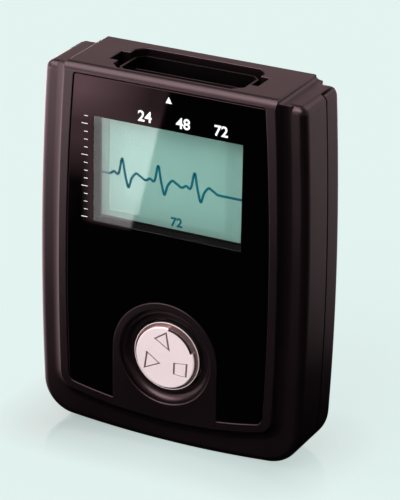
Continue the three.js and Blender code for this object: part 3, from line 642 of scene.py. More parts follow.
# Brown metal on the button's slope, a darker copy of the disc's metal: painted shade in its colour.
slope_metal_and_shade = surface("slope_nickel_painted_shade", (0.37, 0.23, 0.225), (0.43, 0.28, 0.27), (0.20, 0.28),
                      Metallic=0.85)
liner = surface("liner_black", (0.007, 0.006, 0.006), (0.011, 0.009, 0.010), (0.5, 0.6),
                bump=0.05, IOR=1.05)
ink_white = surface("ink_white", (0.80, 0.78, 0.79), (0.86, 0.84, 0.85), (0.3, 0.38))
trace_ink = surface("trace_ink", (0.0, 0.085, 0.115), (0.0, 0.105, 0.14), (0.4, 0.5), IOR=1.15)
# Nearly black metal on the socket: painted shade for the inside of the lead slot.
shaded_socket_finish = surface(
    "socket_metal_painted_shade", (0.018, 0.014, 0.014), (0.034, 0.028, 0.028), (0.28, 0.42),
    bump=0.05, grain=7000, round_edges=0.00005, Metallic=1.0,
)
black_plastic = surface("black_plastic", (0.008, 0.008, 0.008), (0.013, 0.013, 0.013),
                        (0.5, 0.6), bump=0.1)
white_plastic = surface("white_plastic", (0.72, 0.74, 0.72), (0.80, 0.82, 0.80), (0.4, 0.5),
                        bump=0.05)
nylon = surface("nylon", (0.58, 0.55, 0.47), (0.68, 0.64, 0.55), (0.45, 0.6), bump=0.1)
foam = surface("foam", (0.02, 0.02, 0.022), (0.035, 0.035, 0.038), (0.9, 1.0), bump=0.5,
               grain=9000)
film = surface("film", (0.40, 0.15, 0.02), (0.50, 0.20, 0.04), (0.3, 0.4), bump=0.03,
               Coat_Weight=0.4)
board_mask = surface("board_mask", (0.008, 0.06, 0.022), (0.014, 0.10, 0.04), (0.3, 0.42),
                     bump=0.2, grain=2500, Coat_Weight=0.5)
tinned = surface("tinned", (0.50, 0.51, 0.53), (0.62, 0.63, 0.64), (0.25, 0.4),
                 bump=0.08, grain=3500, Metallic=1.0)
resin = surface("chip_resin", (0.008, 0.008, 0.009), (0.014, 0.014, 0.015), (0.5, 0.65),
                bump=0.2, grain=6000)
steel = surface("zinc_steel", (0.42, 0.43, 0.45), (0.55, 0.55, 0.55), (0.24, 0.38), bump=0.06,
                grain=4000, Metallic=1.0, round_edges=0.00006)
gold = surface("gold_flash", (0.70, 0.42, 0.10), (0.80, 0.52, 0.16), (0.2, 0.32), bump=0.04,
               Metallic=1.0)
adhesive = surface("adhesive", (0.01, 0.01, 0.01), (0.016, 0.016, 0.016), (0.8, 0.9), bump=0.2)

# Where a cell's bright ends start, in metres from its middle
band_edge = (0.0140, 0.0142)


def cell_finish():
    """A battery's printed sleeve: a dark body with bright copper-toned ends."""
    material, tree = new_material("cell_sleeve")
    band = between(tree, maths(tree, "ABSOLUTE", place_in(tree)["X"]), 0, 1, *band_edge)
    return finished(material, node(tree, "BsdfPrincipled", {
        "Base Color": tinted(tree, band, (0.018, 0.022, 0.03), (0.55, 0.26, 0.10)),
        "Metallic": band,
        "Roughness": between(tree, spots(tree, 400, 3.0), 0.22, 0.36),
        "Coat Weight": 0.4,
    }))


# Display, in metres: where its painted edge light starts and ends, and its pixels; the tilt is a
# slope
painted_light_side = (0.0165, 0.0200)
painted_light_top = (0.0100, 0.0134)
glow_drift = 0.18
pixel_pitch = 0.00036
pixel_gap = 0.14
display_tilt = 0.007


def display_finish():
    """A pale green reflective display: lighter edges with painted light, faint pixel rows, polished
    glass on top.
    """
    material, tree = new_material("display_green")
    own = place_in(tree)
    across = maths(tree, "ABSOLUTE", own["X"])
    middle = window_middle * MM - ground_sink
    up = maths(tree, "ABSOLUTE", maths(tree, "SUBTRACT", own["Z"], middle))
    # The base is lighter towards all four edges: painted light that evens out the shade of the
    # window's recess walls.
    edge = maths(tree, "MAXIMUM", between(tree, across, 0, 1, *painted_light_side),
                 between(tree, up, 0, 1, *painted_light_top))
    drift = between(tree, spots(tree, 70), -glow_drift, glow_drift, *cloud_range)
    glow = maths(tree, "ADD", edge, drift, use_clamp=True)
    base = tinted(tree, glow, (0.232, 0.405, 0.360), (0.275, 0.450, 0.405))
    gaps = []
    for axis in ("X", "Z"):
        along = maths(tree, "FRACT", maths(tree, "DIVIDE", own[axis], pixel_pitch))
        gaps.append(maths(tree, "LESS_THAN", along, pixel_gap))
    pixels = blended(tree, maths(tree, "MAXIMUM", *gaps), base, (0.88, 0.90, 0.90, 1),
                     blend_type="MULTIPLY")
    turned = node(tree, "VectorMath", {
        0: node(tree, "NewGeometry").outputs["Normal"], 1: (display_tilt, 0.0, 0.0),
    }, operation="ADD").outputs[0]
    return finished(material, node(tree, "BsdfPrincipled", {
        "Base Color": pixels,
        "Roughness": 0.35,
        "Coat Weight": 1.0,
        "Coat Roughness": 0.0,
        "Coat IOR": 2.2,
        "Coat Normal": node(tree, "VectorMath", {0: turned}, operation="NORMALIZE").outputs[0],
    }))


# Pane: how much its middle, the band round that and the border mirror, and how wide they are
clear_mirror = 0.007
zones = [(4.2, 0.066), (2.1, 0.036)]
zone_drop = 0.4
zone_blur = 0.0005


def window_finish():
    """Clear polished sheet: its middle is treated against glare, a band round it mirrors more."""
    material, tree = new_material("window_clear")
    clear = node(tree, "BsdfTransparent", {"Color": (0.97, 0.98, 0.975, 1)})
    shine = node(tree, "BsdfGlossy", {"Color": (1.0, 0.96, 0.97, 1), "Roughness": 0.01})
    facing = node(tree, "LayerWeight", {"Blend": 0.5}).outputs["Facing"]
    own = place_in(tree)
    across = maths(tree, "ABSOLUTE", own["X"])
    share = clear_mirror
    for width, mirror in zones:
        side = (opening_half_width - width) * MM
        foot = (opening_foot + width - zone_drop) * MM - ground_sink
        zone = maths(tree, "MAXIMUM",
                     between(tree, across, 0, 1, side - zone_blur, side + zone_blur),
                     between(tree, own["Z"], 1, 0, foot - zone_blur, foot + zone_blur))
        share = between(tree, zone, share, mirror)
    share = maths(tree, "ADD", maths(tree, "POWER", facing, 5.0), share, use_clamp=True)
    return finished(material, mixed(tree, share, clear, shine))


# ---- shells ----

def rounded_front():
    return [(inset, shoulder_depth + depth) for inset, depth in lip(front_rounding, 10)]


def rounded_back():
    return [(inset, body_depth - rise) for rise, inset in lip(back_rounding, 12)]


def parting_round(depth, forward):
    """The small rounding of a shell's edge at the parting line."""
    rings = [(inset, depth - forward * rise) for rise, inset in lip(parting_edge, 3)]
    return rings if forward > 0 else rings[::-1]


def deck_part():
    rise = shoulder_depth - deck_edge
    step = [(-step_width * (1 - math.cos(t)), deck_edge + rise * math.sin(t))
            for t in quarter_steps(12)[1:]]
    deck = layers(deck_shape, [*lip(deck_edge, 6), *step, (-step_width, deck_floor)])
    return shared(deck, plate(block_view(body_width / 2, 0), -overrun, body_depth))


def block_end():
    """One hollow end of the socket block, from its top edge down to the shoulder."""
    half = block_width / 2
    drop = body_height - shoulder_top
    edge = [(half - inset, body_height - fall) for inset, fall in lip(block_edge)]
    hollow = [(half + block_flare * (1 - math.cos(t)),
               body_height - block_edge - (drop - block_edge) * math.sin(t))
              for t in quarter_steps(10)[1:]]
    return edge + hollow


def block_view(half, foot):
    right = block_end()[::-1]
    left = [(-x, z) for x, z in block_end()]
    return [(-half, foot), (half, foot), (half, shoulder_top), *right, *left, (-half, shoulder_top)]


def top_limit():
    """What lies under the rounded front and back edges of the top."""
    front = (block_front_rounding, body_height - block_front_rounding)
    back = (body_depth - block_back_rounding, body_height - block_back_rounding)
    points = [
        (-overrun, -overrun), (body_depth + overrun, -overrun), (body_depth + overrun, back[1]),
        *arc(*back, block_back_rounding, 0, QUARTER, 10), (back[0], body_height),
        *arc(*front, block_front_rounding, QUARTER, math.pi, 10), (0, front[1]),
        (-overrun, front[1]),
    ]
    return bar(points, -body_width, body_width)


def cap_zone(gap):
    half = cap_width / 2 + gap
    return box(-half, half, parting_depth - overrun, body_depth + overrun,
               cap_foot - gap, body_height + overrun)


def arch_outline(radius, steps=64):
    return np.vstack([
        [(-radius, 0), (radius, 0)],
        arc(0, button_height, radius, 0, math.pi, steps),
        [(-radius, button_height)],
    ])


def slot_outline():
    half, ear = slot_width / 2, ear_width / 2
    near, far = slot_middle - slot_span / 2, slot_middle + slot_span / 2
    right = [
        (half - slot_corner, near), (half, near + slot_corner),
        (half, slot_middle - ear_span / 2), (ear, slot_middle - ear_span / 2),
        (ear, slot_middle + ear_span / 2), (half, slot_middle + ear_span / 2),
        (half, far - slot_corner), (half - slot_corner, far),
    ]
    return right + [(-x, depth) for x, depth in right[::-1]]


def lead_slot():
    """The slot's cutter, flared at the top so that the slot gets a rounded rim."""
    points = np.array(slot_outline())
    rim = [(grown(points, extra), body_height - depth) for extra, depth in lip(slot_lip)[::-1]]
    return post([
        (points, shoulder_top - shell_wall - overrun), *rim,
        (grown(points, slot_lip), body_height + overrun),
    ])


def panel_recess():
    edge = [(panel_edge, -overrun), *lip(panel_edge), (0, recess_depth)]
    recess = layers(panel_shape, [(-panel_gap - extra, depth) for extra, depth in edge])
    edge[0], edge[-1] = (panel_edge, -2 * overrun), (0, recess_depth + overrun)
    island = [(arch_outline(arch_radius - panel_gap - extra), depth) for extra, depth in edge]
    return cut(recess, loft(island))


def dish():
    """The round hollow that the button sits in, with soft edges."""
    wall = [(dish_floor_radius + (dish_radius - dish_floor_radius) * math.cos(t),
             dish_lip / 2 + (dish_depth - dish_lip / 2) * math.sin(t)) for t in quarter_steps(12)]
    edge = [(dish_radius + extra, depth / 2) for extra, depth in lip(dish_lip, 6)]
    profile = [(0, -overrun), (dish_radius + dish_lip, -overrun), *edge, *wall[1:], (0, dish_depth)]
    return lathe(profile, z=button_height)


def button_bore():
    edge = [(hole_radius + extra, dish_depth + depth) for extra, depth in lip(hole_edge, 4)]
    profile = [(0, -overrun), (hole_radius + hole_edge, -overrun), *edge,
               (hole_radius, guide_depth + overrun), (0, guide_depth + overrun)]
    return lathe(profile, z=button_height)


def front_shell():
    straight = parting_round(parting_depth, 1)
    front_body = layers(body_shape, [*rounded_front(), *straight])
    full_body = layers(body_shape, [*rounded_front(), *rounded_back()])
    block = plate(block_view(block_width / 2 + block_flare, cap_foot), shoulder_depth, body_depth)
    skin = joined(front_body, shared(full_body, cap_zone(0)), deck_part(), block)
    skin = shared(skin, top_limit())
    cavity = layers(body_shape, [
        (shell_wall + front_rounding / 2, deck_floor),
        (shell_wall, deck_floor + front_rounding),
        (shell_wall, parting_depth + overrun),
    ])
    half = cap_width / 2 - cap_wall
    cap_cavity = box(-half, half, parting_depth - overrun, body_depth - shell_wall,
                     cap_foot - overrun, shoulder_top - shell_wall)
    window_cut = box_about(window_middle, window_half_width, window_half_height,
                           0, deck_floor + overrun)
    shell = cut(skin, cavity, cap_cavity, panel_recess(), window_cut, dish())
    boss_front = (shoulder_depth + deck_floor) / 2
    floor_middle = (recess_depth + deck_floor) / 2
    guide_front = (dish_depth + deck_floor) / 2
    shell = joined(
        shell,
        *cylinders(boss_places, boss_radius, boss_front, boss_end),
        *cylinders(post_places, post_radius, floor_middle, post_end),
        ring(hole_radius, guide_radius, guide_front, guide_depth),
    )
    return cut(
        shell, button_bore(), lead_slot(),
        *cylinders(boss_places, boss_hole, boss_end - boss_hole_depth, boss_end + overrun),
        *cylinders(post_places, post_hole, deck_floor, post_end + overrun),
    )


def door_outline(grow):
    return rounded_rectangle(door_half_width + grow, door_half_height + grow, bay_middle,
                             door_corner + grow)


def rear_shell():
    start = parting_depth + parting_gap
    full = layers(body_shape, [*parting_round(start, -1), *rounded_back()])
    skin = shared(full, top_limit())
    cavity = layers(body_shape, [
        (shell_wall, start - overrun),
        (shell_wall, body_depth - back_rounding),
        (back_rounding, body_depth - shell_wall),
    ])
    wall_middle = body_depth - shell_wall / 2
    tray = box_about(bay_middle, bay_half_width + bay_wall, bay_half_height + bay_wall,
                     bay_floor - bay_floor_thickness, door_seat)
    pad = plate(door_outline(door_pad_margin), door_seat - door_pad_thickness, wall_middle)
    columns = cylinders(boss_places, column_radius, start, wall_middle)
    tongue_front, tongue_back = parting_depth - tongue_reach, start + tongue_root
    tongue_inner, tongue_outer = shell_wall + tongue_wall, shell_wall + tongue_gap
    tongue = layers(body_shape, [
        (tongue_outer, tongue_front), (tongue_outer, start),
        (shell_wall / 2, start + tongue_gap), (shell_wall / 2, tongue_back),
    ])
    tongue = cut(tongue, layers(body_shape, [
        (tongue_inner, tongue_front - overrun), (tongue_inner, tongue_back + overrun),
    ]))
    shell = joined(cut(skin, cavity), tray, pad, tongue, *columns)
    shell = shared(shell, layers(body_shape, [(0, bay_floor - 2 * overrun), *rounded_back()]))
    rim = [(door_outline(door_gap + extra), body_depth - depth)
           for extra, depth in lip(door_recess_edge, 4)[::-1]]
    recess = loft([(door_outline(door_gap), door_seat), *rim,
                   (door_outline(door_gap + door_recess_edge), body_depth + overrun)])
    scoop_rim = [(scoop_radius + extra, body_depth - depth)
                 for extra, depth in lip(scoop_edge)[::-1]]
    scoop = lathe(
        [(0, body_depth - scoop_depth), (scoop_radius - scoop_wall, body_depth - scoop_depth),
         *scoop_rim, (scoop_radius + scoop_edge, body_depth + overrun),
         (0, body_depth + overrun)],
        z=bay_middle + door_half_height + door_gap,
    )
    slits = [box(*sorted((side * cap_width / 2, side * (cap_width / 2 + slit_width))),
                 start - overrun, slit_back, slit_foot, body_height) for side in (-1, 1)]
    return cut(
        shell, cap_zone(parting_gap), *slits,
        box_about(bay_middle, bay_half_width, bay_half_height, bay_floor, body_depth + overrun),
        recess, scoop,
        *cylinders(boss_places, screw_sink, screw_seat, body_depth + overrun),
        *cylinders(boss_places, screw_clear_hole, start - overrun, body_depth),
    )


def door():
    edge = [(door_outline(-extra), body_depth - depth) for extra, depth in lip(door_edge)[::-1]]
    sheet = loft([(door_outline(0), door_front), *edge])
    half_width, half_height = bay_half_width - spigot_inset, bay_half_height - spigot_inset
    front = door_front - spigot_depth
    spigot = cut(
        box_about(bay_middle, half_width, half_height, front, door_front + spigot_root),
        box_about(bay_middle, half_width - spigot_wall, half_height - spigot_wall,
                  front - overrun, door_front),
    )
    grooves = []
    low, high = body_depth - grip_depth, body_depth + grip_flare
    for i in range(grip_count):
        z = bay_middle + door_half_height - grip_pitch * (i + 1)
        points = [(low, z - grip_groove / 4), (high, z - grip_groove / 2),
                  (high, z + grip_groove / 2), (low, z + grip_groove / 4)]
        grooves.append(bar(points, -grip_width / 2, grip_width / 2))
    return cut(joined(sheet, spigot), *grooves)


place(front_shell(), "front_shell", casing, "recorder", ["front_housing"])
place(rear_shell(), "rear_shell", casing, "recorder", ["rear_housing"])
place(door(), "door_shell", casing, "door", ["battery_door"])


# ---- front panel ----

def opening(front, back):
    """What fills the panel's opening over the display, between two depths."""
    return box(-opening_half_width, opening_half_width, front, back, opening_foot, opening_top)


def panel_sheet():
    edge = [(extra, ink_depth + depth) for extra, depth in lip(panel_edge)]
    sheet = layers(panel_shape, [*edge, (0, panel_thickness)])
    arch = [(panel_edge, -overrun), *edge, (0, panel_thickness + overrun)]
    arch_cut = loft([(arch_outline(arch_radius + extra), depth) for extra, depth in arch])
    pocket = box_about(window_middle, window_half_width, window_half_height,
                       window_pocket, panel_thickness + overrun)
    return cut(sheet, arch_cut, opening(-overrun, panel_thickness), pocket)


def window_liner():
    sleeve = box_about(window_middle, window_half_width - liner_gap,
                       window_half_height - liner_gap, liner_front, liner_back)
    return cut(sleeve, opening(-overrun, liner_back + overrun))


place(panel_sheet(), "panel_sheet", gloss, "recorder", ["front_panel"])
place(window_liner(), "window_liner", liner, "recorder")
pane = opening(ink_depth, ink_depth + pane_thickness)
place(pane, "window_pane", window_finish(), "recorder")


# ---- button ----

def button():
    face = [(face_radius - inset, face_depth + fall) for inset, fall in lip(face_edge, 8)]
    half = bead_width / 2
    bead = [(rim_radius - half - half * math.cos(t), bead_depth + half * (1 - math.sin(t)))
            for t in np.linspace(0, math.pi, 11)]
    inner = rim_radius - skirt_wall
    cap = lathe([
        (0, face_depth), *face, (face_radius, rim_depth), (rim_radius - bead_width, rim_depth),
        *bead, (rim_radius, rim_depth), (skirt_radius, skirt_front), (skirt_radius, skirt_depth),
        (inner, skirt_depth), (inner, cap_underside), (0, cap_underside),
    ], z=button_height, segments=button_segments)
    marks = [mark_outline(points, mark_line, -overrun, mark_floor) for points in button_marks]
    notch = sector(notch_radius, rim_radius - bead_width, -overrun, notch_depth)
    return cut(cap, notch, *marks)


def sector(inner, outer, front, back):
    """A piece of a ring about the button's middle, as long as the notch in the disc's edge."""
    turn = np.radians(np.linspace(notch_start, notch_end, notch_steps))
    arcs = [(radius * np.cos(way), button_height + radius * np.sin(way))
            for radius, way in ((outer, turn), (inner, turn[::-1]))]
    return plate([*zip(*arcs[0]), *zip(*arcs[1])], front, back)


def stroked(points, line):
    """A mark's polygon, each side moved out by its stroke: upright strokes are bolder, so that
    their dark fill paints the shade on upright groove walls.
    """
    sides = np.roll(points, -1, 0) - points
    sides = sides / np.linalg.norm(sides, axis=1)[:, None]
    out = np.stack([sides[:, 1], -sides[:, 0]], 1)
    upright = np.abs(sides[:, 1])
    stroke = level_stroke + (shaded_upright_stroke - level_stroke) * upright
    away = (out * points).sum(1) + line * stroke
    corners = [(i - 1, i) for i in range(len(points))]
    return np.array([np.linalg.solve(out[[*pair]], away[[*pair]]) for pair in corners])


def mark_outline(points, line, front, back):
    """The outline of one mark on the button."""
    points = np.array(points) + (0, button_height)
    inner = plate(stroked(points, -line), front - overrun, back + overrun)
    return cut(plate(stroked(points, line), front, back), inner)


def slope_ring():
    """The slope round the step, in fine turned ridges. It starts under the disc, in its notch."""
    wall = notch_radius + notch_line
    width = rim_radius - bead_width + button_fit / 2 - wall
    fall = slope_foot - slope_top
    profile = [(wall, slope_top - button_fit)]
    for i in range(slope_ridges):
        start, end = i / slope_ridges, (i + 1) / slope_ridges
        ridge = start + ridge_share * (end - start)
        profile.append((wall + width * ridge, slope_top + fall * start + button_fit))
        profile.append((wall + width * end, slope_top + fall * end + button_fit))
    profile += [(wall + width, rim_depth + button_fit), (wall, rim_depth + button_fit)]
    return lathe(profile, z=button_height, segments=button_segments, closed=True)


# Marks on the disc, as points from its middle
button_marks = [
    [(-2.71, 4.56), (1.07, 2.21), (0.27, 6.59)],
    [(-5.50, -3.78), (-1.45, -1.83), (-4.89, 0.48)],
    [(2.53, -3.87), (5.79, -4.00), (6.00, -0.49), (2.60, -0.90)],
]
# Upright strokes are drawn bolder than level ones: painted shade on the upright groove walls.
shaded_upright_stroke, level_stroke = 1.35, 0.5
mark_line, mark_fill = 0.19, 0.06
mark_floor = face_depth + 0.32
place(button(), "button_disc", button_metal, "cap", ["button_cap"])
fills = [mark_outline(points, mark_line + button_fit / 2, mark_floor - mark_fill,
                      mark_floor + mark_fill) for points in button_marks]
place(joined(*fills), "button_marks", mark_fill_and_shade, "cap")
step_wall = cut(
    ring(face_radius - step_wall_width, face_radius + button_fit, face_depth + step_drop,
         rim_depth + button_fit, button_segments),
    sector(notch_radius, rim_radius, -overrun, notch_depth),
)
place(step_wall, "button_step", step_metal_and_shade, "cap")
# A black lining in the disc's notch at its upper right: painted shade under the disc's edge.
notch_shade = cut(
    sector(notch_radius - button_fit, notch_radius + notch_line + button_fit,
           face_depth + button_fit, notch_depth + button_fit),
    sector(notch_radius + 2 * button_fit, rim_radius, -overrun, slope_top + lining_drop),
)
place(notch_shade, "button_notch_painted_shade", black_plastic, "cap")
place(slope_ring(), "button_slope", slope_metal_and_shade, "cap")
# A thin black coat over the disc's skirt below its rim: painted shade in the gap between the button
# and its bore.
skirt = ring(skirt_radius - skirt_wall / 2, skirt_radius + skirt_shade_coat,
             skirt_front + skirt_drop, skirt_depth - button_fit, button_segments)
place(skirt, "button_skirt_painted_shade", black_plastic, "cap")


# ---- marks on the panel and the display ----

def ribbon(points, width, front, back):
    """A line of even width along points in x and z, as one closed strip."""
    points = np.asarray(points, float)
    step = np.gradient(points, axis=0)
    step /= np.linalg.norm(step, axis=1, keepdims=True)
    side = np.column_stack([-step[:, 1], step[:, 0]]) * width / 2
    return stacked([
        [(x1, front, z1), (x2, front, z2), (x2, back, z2), (x1, back, z1)]
        for (x1, z1), (x2, z2) in zip(points - side, points + side)
    ])


def trace_points():
    """Heartbeats, each a row of bell curves along the base line."""
    x = np.linspace(-display_half_width, display_half_width, trace_steps)
    z = np.full_like(x, trace_height)
    for beat in range(trace_beats):
        middle = trace_first + beat * trace_pitch
        for shift, height, spread in trace_waves:
            z += height * np.exp(-(((x - middle - shift) / spread) ** 2))
    return np.column_stack([x, z])


def text(words, x, z, height, front, thickness, boldness):
    """Flat figures, their foot at z and their left edge at x."""
    curve = bpy.data.curves.new("figures", "FONT")
    curve.body = words
    curve.size = 1
    curve.resolution_u = 6
    curve.offset = boldness
    made = added("figures", curve)
    mesh = evaluated(made)
    bpy.data.objects.remove(made)
    work = bmesh.new()
    work.from_mesh(mesh)
    bmesh.ops.remove_doubles(work, verts=work.verts, dist=1e-5)
    low = min(v.co.y for v in work.verts)
    high = max(v.co.y for v in work.verts)
    left = min(v.co.x for v in work.verts)
    scale = height / (high - low)
    for v in work.verts:
        v.co = Vector((x + (v.co.x - left) * scale, front, z + (v.co.y - low) * scale))
    for item in bmesh.ops.extrude_face_region(work, geom=work.faces[:])["geom"]:
        if isinstance(item, bmesh.types.BMVert):
            item.co.y += thickness
    bmesh.ops.recalc_face_normals(work, faces=work.faces)
    # The side faces come in another order each run, so all faces are put in order here.
    for i, face in enumerate(sorted(work.faces, key=lambda face: tuple(face.calc_center_median()))):
        face.index = i
    work.faces.sort()
    work.to_mesh(mesh)
    work.free()
    return added("figures", mesh)


# The waves of a heartbeat: how far from its peak, how high and how wide
trace_waves = [
    (-2.2, 0.7, 0.7), (0.0, 4.4, 0.62), (1.75, -2.7, 0.6), (3.9, 1.3, 0.9), (5.2, 0.5, 0.7),
]
trace_height, trace_first, trace_pitch, trace_beats = 67.6, -14.2, 9.75, 3
trace_width, trace_thickness, trace_steps = 0.62, 0.04, 420
trace_front = glass_front - trace_thickness
trace = ribbon(trace_points(), trace_width, trace_front, glass_front)
place(trace, "display_trace", trace_ink, "recorder")
reading_left, reading_foot, reading_size, reading_boldness = -0.9, 57.2, 2.45, 0.03
reading = text("72", reading_left, reading_foot, reading_size, trace_front, trace_thickness,
               reading_boldness)
place(reading, "display_reading", trace_ink, "recorder")

arrow = plate([(-0.6, 89.95), (1.05, 89.95), (0.22, 91.6)], ink_front, ink_depth)
place(arrow, "plug_arrow", ink_white, "recorder")
hours_foot, hours_size, hours_boldness = 84.2, 2.75, 0.02
for hours, left in [("24", -7.9), ("48", 2.2), ("72", 12.3)]:
    figures = text(hours, left, hours_foot, hours_size, ink_front, ink_depth - ink_front,
                   hours_boldness)
    place(figures, "hours_" + hours, ink_white, "recorder")
tick_count, tick_first, tick_pitch, tick_end, tick_line = 14, 56.9, 2.0, -21.4, 0.07
long_tick, short_tick, long_every = 1.7, 1.0, 4
ticks = []
for i in range(tick_count):
    z = tick_first + i * tick_pitch
    reach = short_tick if i % long_every else long_tick
    ticks.append(box(tick_end - reach, tick_end, ink_front, ink_depth,
                     z - tick_line, z + tick_line))
place(joined(*ticks), "scale_ticks", ink_white, "recorder")


# ---- the solids that stay as they are ----

cell_sleeve = cell_finish()
finishes = {
    "panel_adhesive": adhesive,
    "display_gasket": foam,
    "display_frame": liner,
    "display_glass": display_finish(),
    "display_backlight": white_plastic,
    "display_ribbon": film,
    "button_rocker": nylon,
    "button_stem": nylon,
    "press_switch": black_plastic,
    "main_board": board_mask,
    "board_screw": steel,
    "amplifier_shield": tinned,
    "processor_chip": resin,
    "memory_chip": resin,
    "clock_cell": steel,
    "buzzer": black_plastic,
    "socket_shell": shaded_socket_finish,
    "socket_insulator": black_plastic,
    "socket_contact": gold,
    "battery_1": cell_sleeve,
    "battery_2": cell_sleeve,
    "battery_contact": tinned,
    "housing_screw": steel,
}
for name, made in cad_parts.items():
    for start, material in finishes.items():
        if name.startswith(start):
            dress(made.data, material)


# ---- floor, world, lights and camera ----

pale = (0.776, 0.905, 0.879)
floor_reach, floor_thickness = 2500, 10

# What the camera sees of the floor: mostly its own light, with some shadow and a mirror image
own_light = 0.925
shadow_share = 0.10
mirror_share = 0.43
mirror_reach = 0.020
mirror_blur = 0.1
mirror_slant = (0.0, 1.0, 0.3, 0.55)
mirror_side = (1.0, 0.5, -0.036, 0.0)
foot_half_width = 0.028
foot_half_depth = 0.0095

# Fields of light that polished faces alone see in the floor. Each has its strength and its
# bounds: what is measured, the share at the bound's start and end, and where these lie.
# "line" is the way from the glare's slanting edge; "across" joins two bounds of the glare.
glare_slope, glare_offset = 2.477, 0.0207
border_slope = 0.1655
glare_border = (0.0, 1.0, 0.0054, 0.0084)
glare_high = (0.0, 1.0, -0.155, -0.185)
cool_colour = (0.96, 0.97, 0.96)
cool_fields = [
    (1.8, [("line", 1, 0, -0.0006, 0.0006), ("across", 0, 1, 0, 1),
           ("y", 0, 1, -0.1275, -0.1310), ("y", 1, 0.5, -0.205, -0.222)]),
    (3.9, [("y", 0, 1, -0.2, -0.225), ("line", 1, 0, -0.03, -0.006)]),
]
warm_colour = (1.0, 0.80, 0.84)
warm_fields = [
    (1.5, [("line", 0, 1, -0.018, -0.11)]),
    (1.0, [("line", 0, 1, -0.12, -0.3)]),
    (1.2, [("line", 0, 1, -0.012, -0.035), ("y", 0, 1, -0.05, -0.03)]),
    (0.03, [("y", 0, 1, 0, 0.15)]),
    (0.3, [("y", 0, 1, 0.15, 0.5)]),
    (0.33, [("x", 0, 1, 0.05, 0.14), ("y", 0, 1, 0.02, 0.16)]),
    (1.5, [("x", 1, 0, 0.03, 0.1), ("y", 0, 1, 0.05, 0.2)]),
]


def floor_finish():
    """Pale floor: it holds a soft shadow and mirrors what stands on it, less and less outwards."""
    material, tree = new_material("floor")
    own = place_in(tree)

    # The mirror image fades with the distance from the foot of the object.
    squares = []
    for axis, half in (("X", foot_half_width), ("Y", foot_half_depth)):
        out = maths(tree, "SUBTRACT", maths(tree, "ABSOLUTE", own[axis]), half)
        squares.append(maths(tree, "POWER", maths(tree, "MAXIMUM", out, 0.0), 2.0))
    distance = maths(tree, "SQRT", maths(tree, "ADD", *squares))
    facing = node(tree, "LayerWeight", {"Blend": 0.5}).outputs["Facing"]
    fade = maths(tree, "MULTIPLY", between(tree, distance, mirror_share, 0.0, 0.0, mirror_reach),
                 between(tree, facing, *mirror_slant))
    fade = maths(tree, "MULTIPLY", fade, between(tree, own["X"], *mirror_side))
    plain = node(tree, "BsdfDiffuse", {"Color": (*pale, 1)})
    seen = node(tree, "Emission", {"Color": (*pale, 1), "Strength": own_light})
    mirror = node(tree, "BsdfGlossy", {"Color": (*pale, 1), "Roughness": mirror_blur})
    camera_look = mixed(tree, fade, mixed(tree, shadow_share, seen, plain), mirror)

    side = maths(tree, "SUBTRACT", own["X"], maths(tree, "DIVIDE", own["Y"], glare_slope))
    line = maths(tree, "ADD", side, glare_offset)
    border = maths(tree, "SUBTRACT", line, maths(tree, "MULTIPLY", own["Y"], border_slope))
    across = maths(tree, "MAXIMUM", between(tree, border, *glare_border),
                   between(tree, own["Y"], *glare_high))
    measured = {"x": own["X"], "y": own["Y"], "line": line, "across": across}
    glows = []
    for colour, fields in ((cool_colour, cool_fields), (warm_colour, warm_fields)):
        total = 0.0
        for share, bounds in fields:
            for value, *bound in bounds:
                share = maths(tree, "MULTIPLY", between(tree, measured[value], *bound), share)
            total = maths(tree, "ADD", share, total)
        glows.append(node(tree, "Emission", {"Color": (*colour, 1), "Strength": total}))
    mirrored = node(tree, "AddShader", {0: glows[0].outputs[0], 1: glows[1].outputs[0]})
    ray = node(tree, "LightPath").outputs
    other = mixed(tree, ray["Is Glossy Ray"], plain, mirrored)
    return finished(material, mixed(tree, ray["Is Camera Ray"], other, camera_look))


floor = box(-floor_reach, floor_reach, -floor_reach, floor_reach, -floor_thickness, 0)
floor.name = "floor"
for v in floor.data.vertices:
    v.co = Vector((v.co.x * MM, v.co.y * MM, v.co.z * MM))
floor.data.materials.append(floor_finish())

# The world: plain fill light, and for polished faces a sky that is bright at the left in front
# and warm and dim behind. Its bounds lie along the directions x, y and z.
fill_strength = 0.5
sky_low, sky_high = (0.70, 0.49, 0.51), (0.22, 0.14, 0.15)
sky_dim, sky_bright = (0.25, 0.205, 0.215), (2.4, 2.04, 2.11)
sky_rise = (0.0, 1.0, 0.42, 0.62)
sky_front = (0.0, 1.0, 0.35, -0.15)
sky_left = (1.0, 0.0, -0.47, -0.34)
sky_end = (0.4, 1.0, -0.75, -0.55)
world = bpy.data.worlds.new("studio")
bpy.context.scene.world = world
world.use_nodes = True
tree = world.node_tree
tree.nodes.clear()
towards = place_in(tree, "Generated")
behind_tone = tinted(tree, between(tree, towards["Z"], *sky_rise), sky_low, sky_high)
at_left = maths(tree, "POWER", between(tree, towards["X"], *sky_left), 2.0)
at_left = maths(tree, "MULTIPLY", at_left, between(tree, towards["X"], *sky_end))
front_tone = tinted(tree, at_left, sky_dim, sky_bright)
in_front = between(tree, towards["Y"], *sky_front)
sky_tone = blended(tree, in_front, behind_tone, front_tone)
sky = node(tree, "Background", {"Color": sky_tone, "Strength": 1.0})
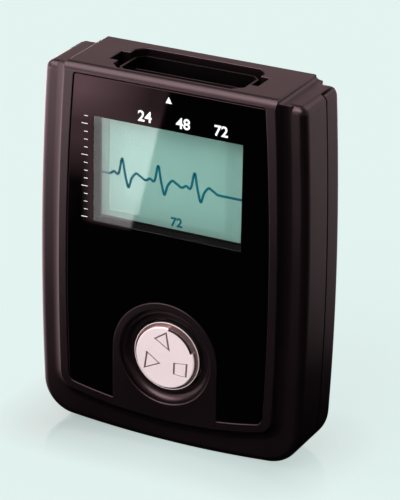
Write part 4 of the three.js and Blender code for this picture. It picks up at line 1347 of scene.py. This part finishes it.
seen = node(tree, "Background", {"Color": (*pale, 1), "Strength": 1.0})
fill = node(tree, "Background", {"Color": (1.0, 1.0, 1.0, 1), "Strength": fill_strength})
ray = node(tree, "LightPath").outputs
shown = mixed(tree, ray["Is Camera Ray"], fill, seen)
shown = mixed(tree, ray["Is Glossy Ray"], shown, sky)
node(tree, "OutputWorld", {"Surface": shown.outputs[0]})


def direction(around, upward):
    """The way to a place round the object, in degrees from the front to the right, and up."""
    around, upward = math.radians(around), math.radians(upward)
    level = math.cos(upward)
    return Vector((math.sin(around) * level, -math.cos(around) * level, math.sin(upward)))


# Soft distant lamps: degrees round from the front (to the right), degrees up, spread, strength
lamps = {
    "lamp_front": (-14, 46, 40, 2.55),
    "lamp_left": (-74, 52, 40, 1.6),
    "lamp_back": (150, 45, 50, 0.6),
}
for name, (around, upward, spread, strength) in lamps.items():
    data = bpy.data.lights.new(name, "SUN")
    data.angle = math.radians(spread)
    data.energy = strength
    lamp = added(name, data)
    lamp.rotation_euler = direction(around, upward).to_track_quat("Z", "Y").to_euler()

# Camera: its angles in degrees, its distance and aim in metres, its focal length in pixels
camera_turn, camera_lift, camera_roll = 26.586, 23.071, math.radians(1.065)
camera_distance = 0.6924
camera_aim = (0.009130, -0.0109, 0.054549)
focal_length, picture_height, sensor_height = 2916.3, 500, 36
back = direction(camera_turn, camera_lift)
level = direction(camera_turn + 90, 0)
upright = direction(camera_turn, camera_lift + 90)
right = math.cos(camera_roll) * level + math.sin(camera_roll) * upright
up = math.cos(camera_roll) * upright - math.sin(camera_roll) * level
camera_data = bpy.data.cameras.new("camera")
camera_data.sensor_fit = "VERTICAL"
camera_data.sensor_height = sensor_height
camera_data.lens = focal_length / picture_height * sensor_height
camera_data.clip_start = 0.01
camera_data.clip_end = 20
camera = added("camera", camera_data)
camera.matrix_world = Matrix([
    *((right[i], up[i], back[i], camera_aim[i] + camera_distance * back[i]) for i in range(3)),
    (0, 0, 0, 1),
])
bpy.context.scene.camera = camera
bpy.context.scene.view_settings.view_transform = "Standard"
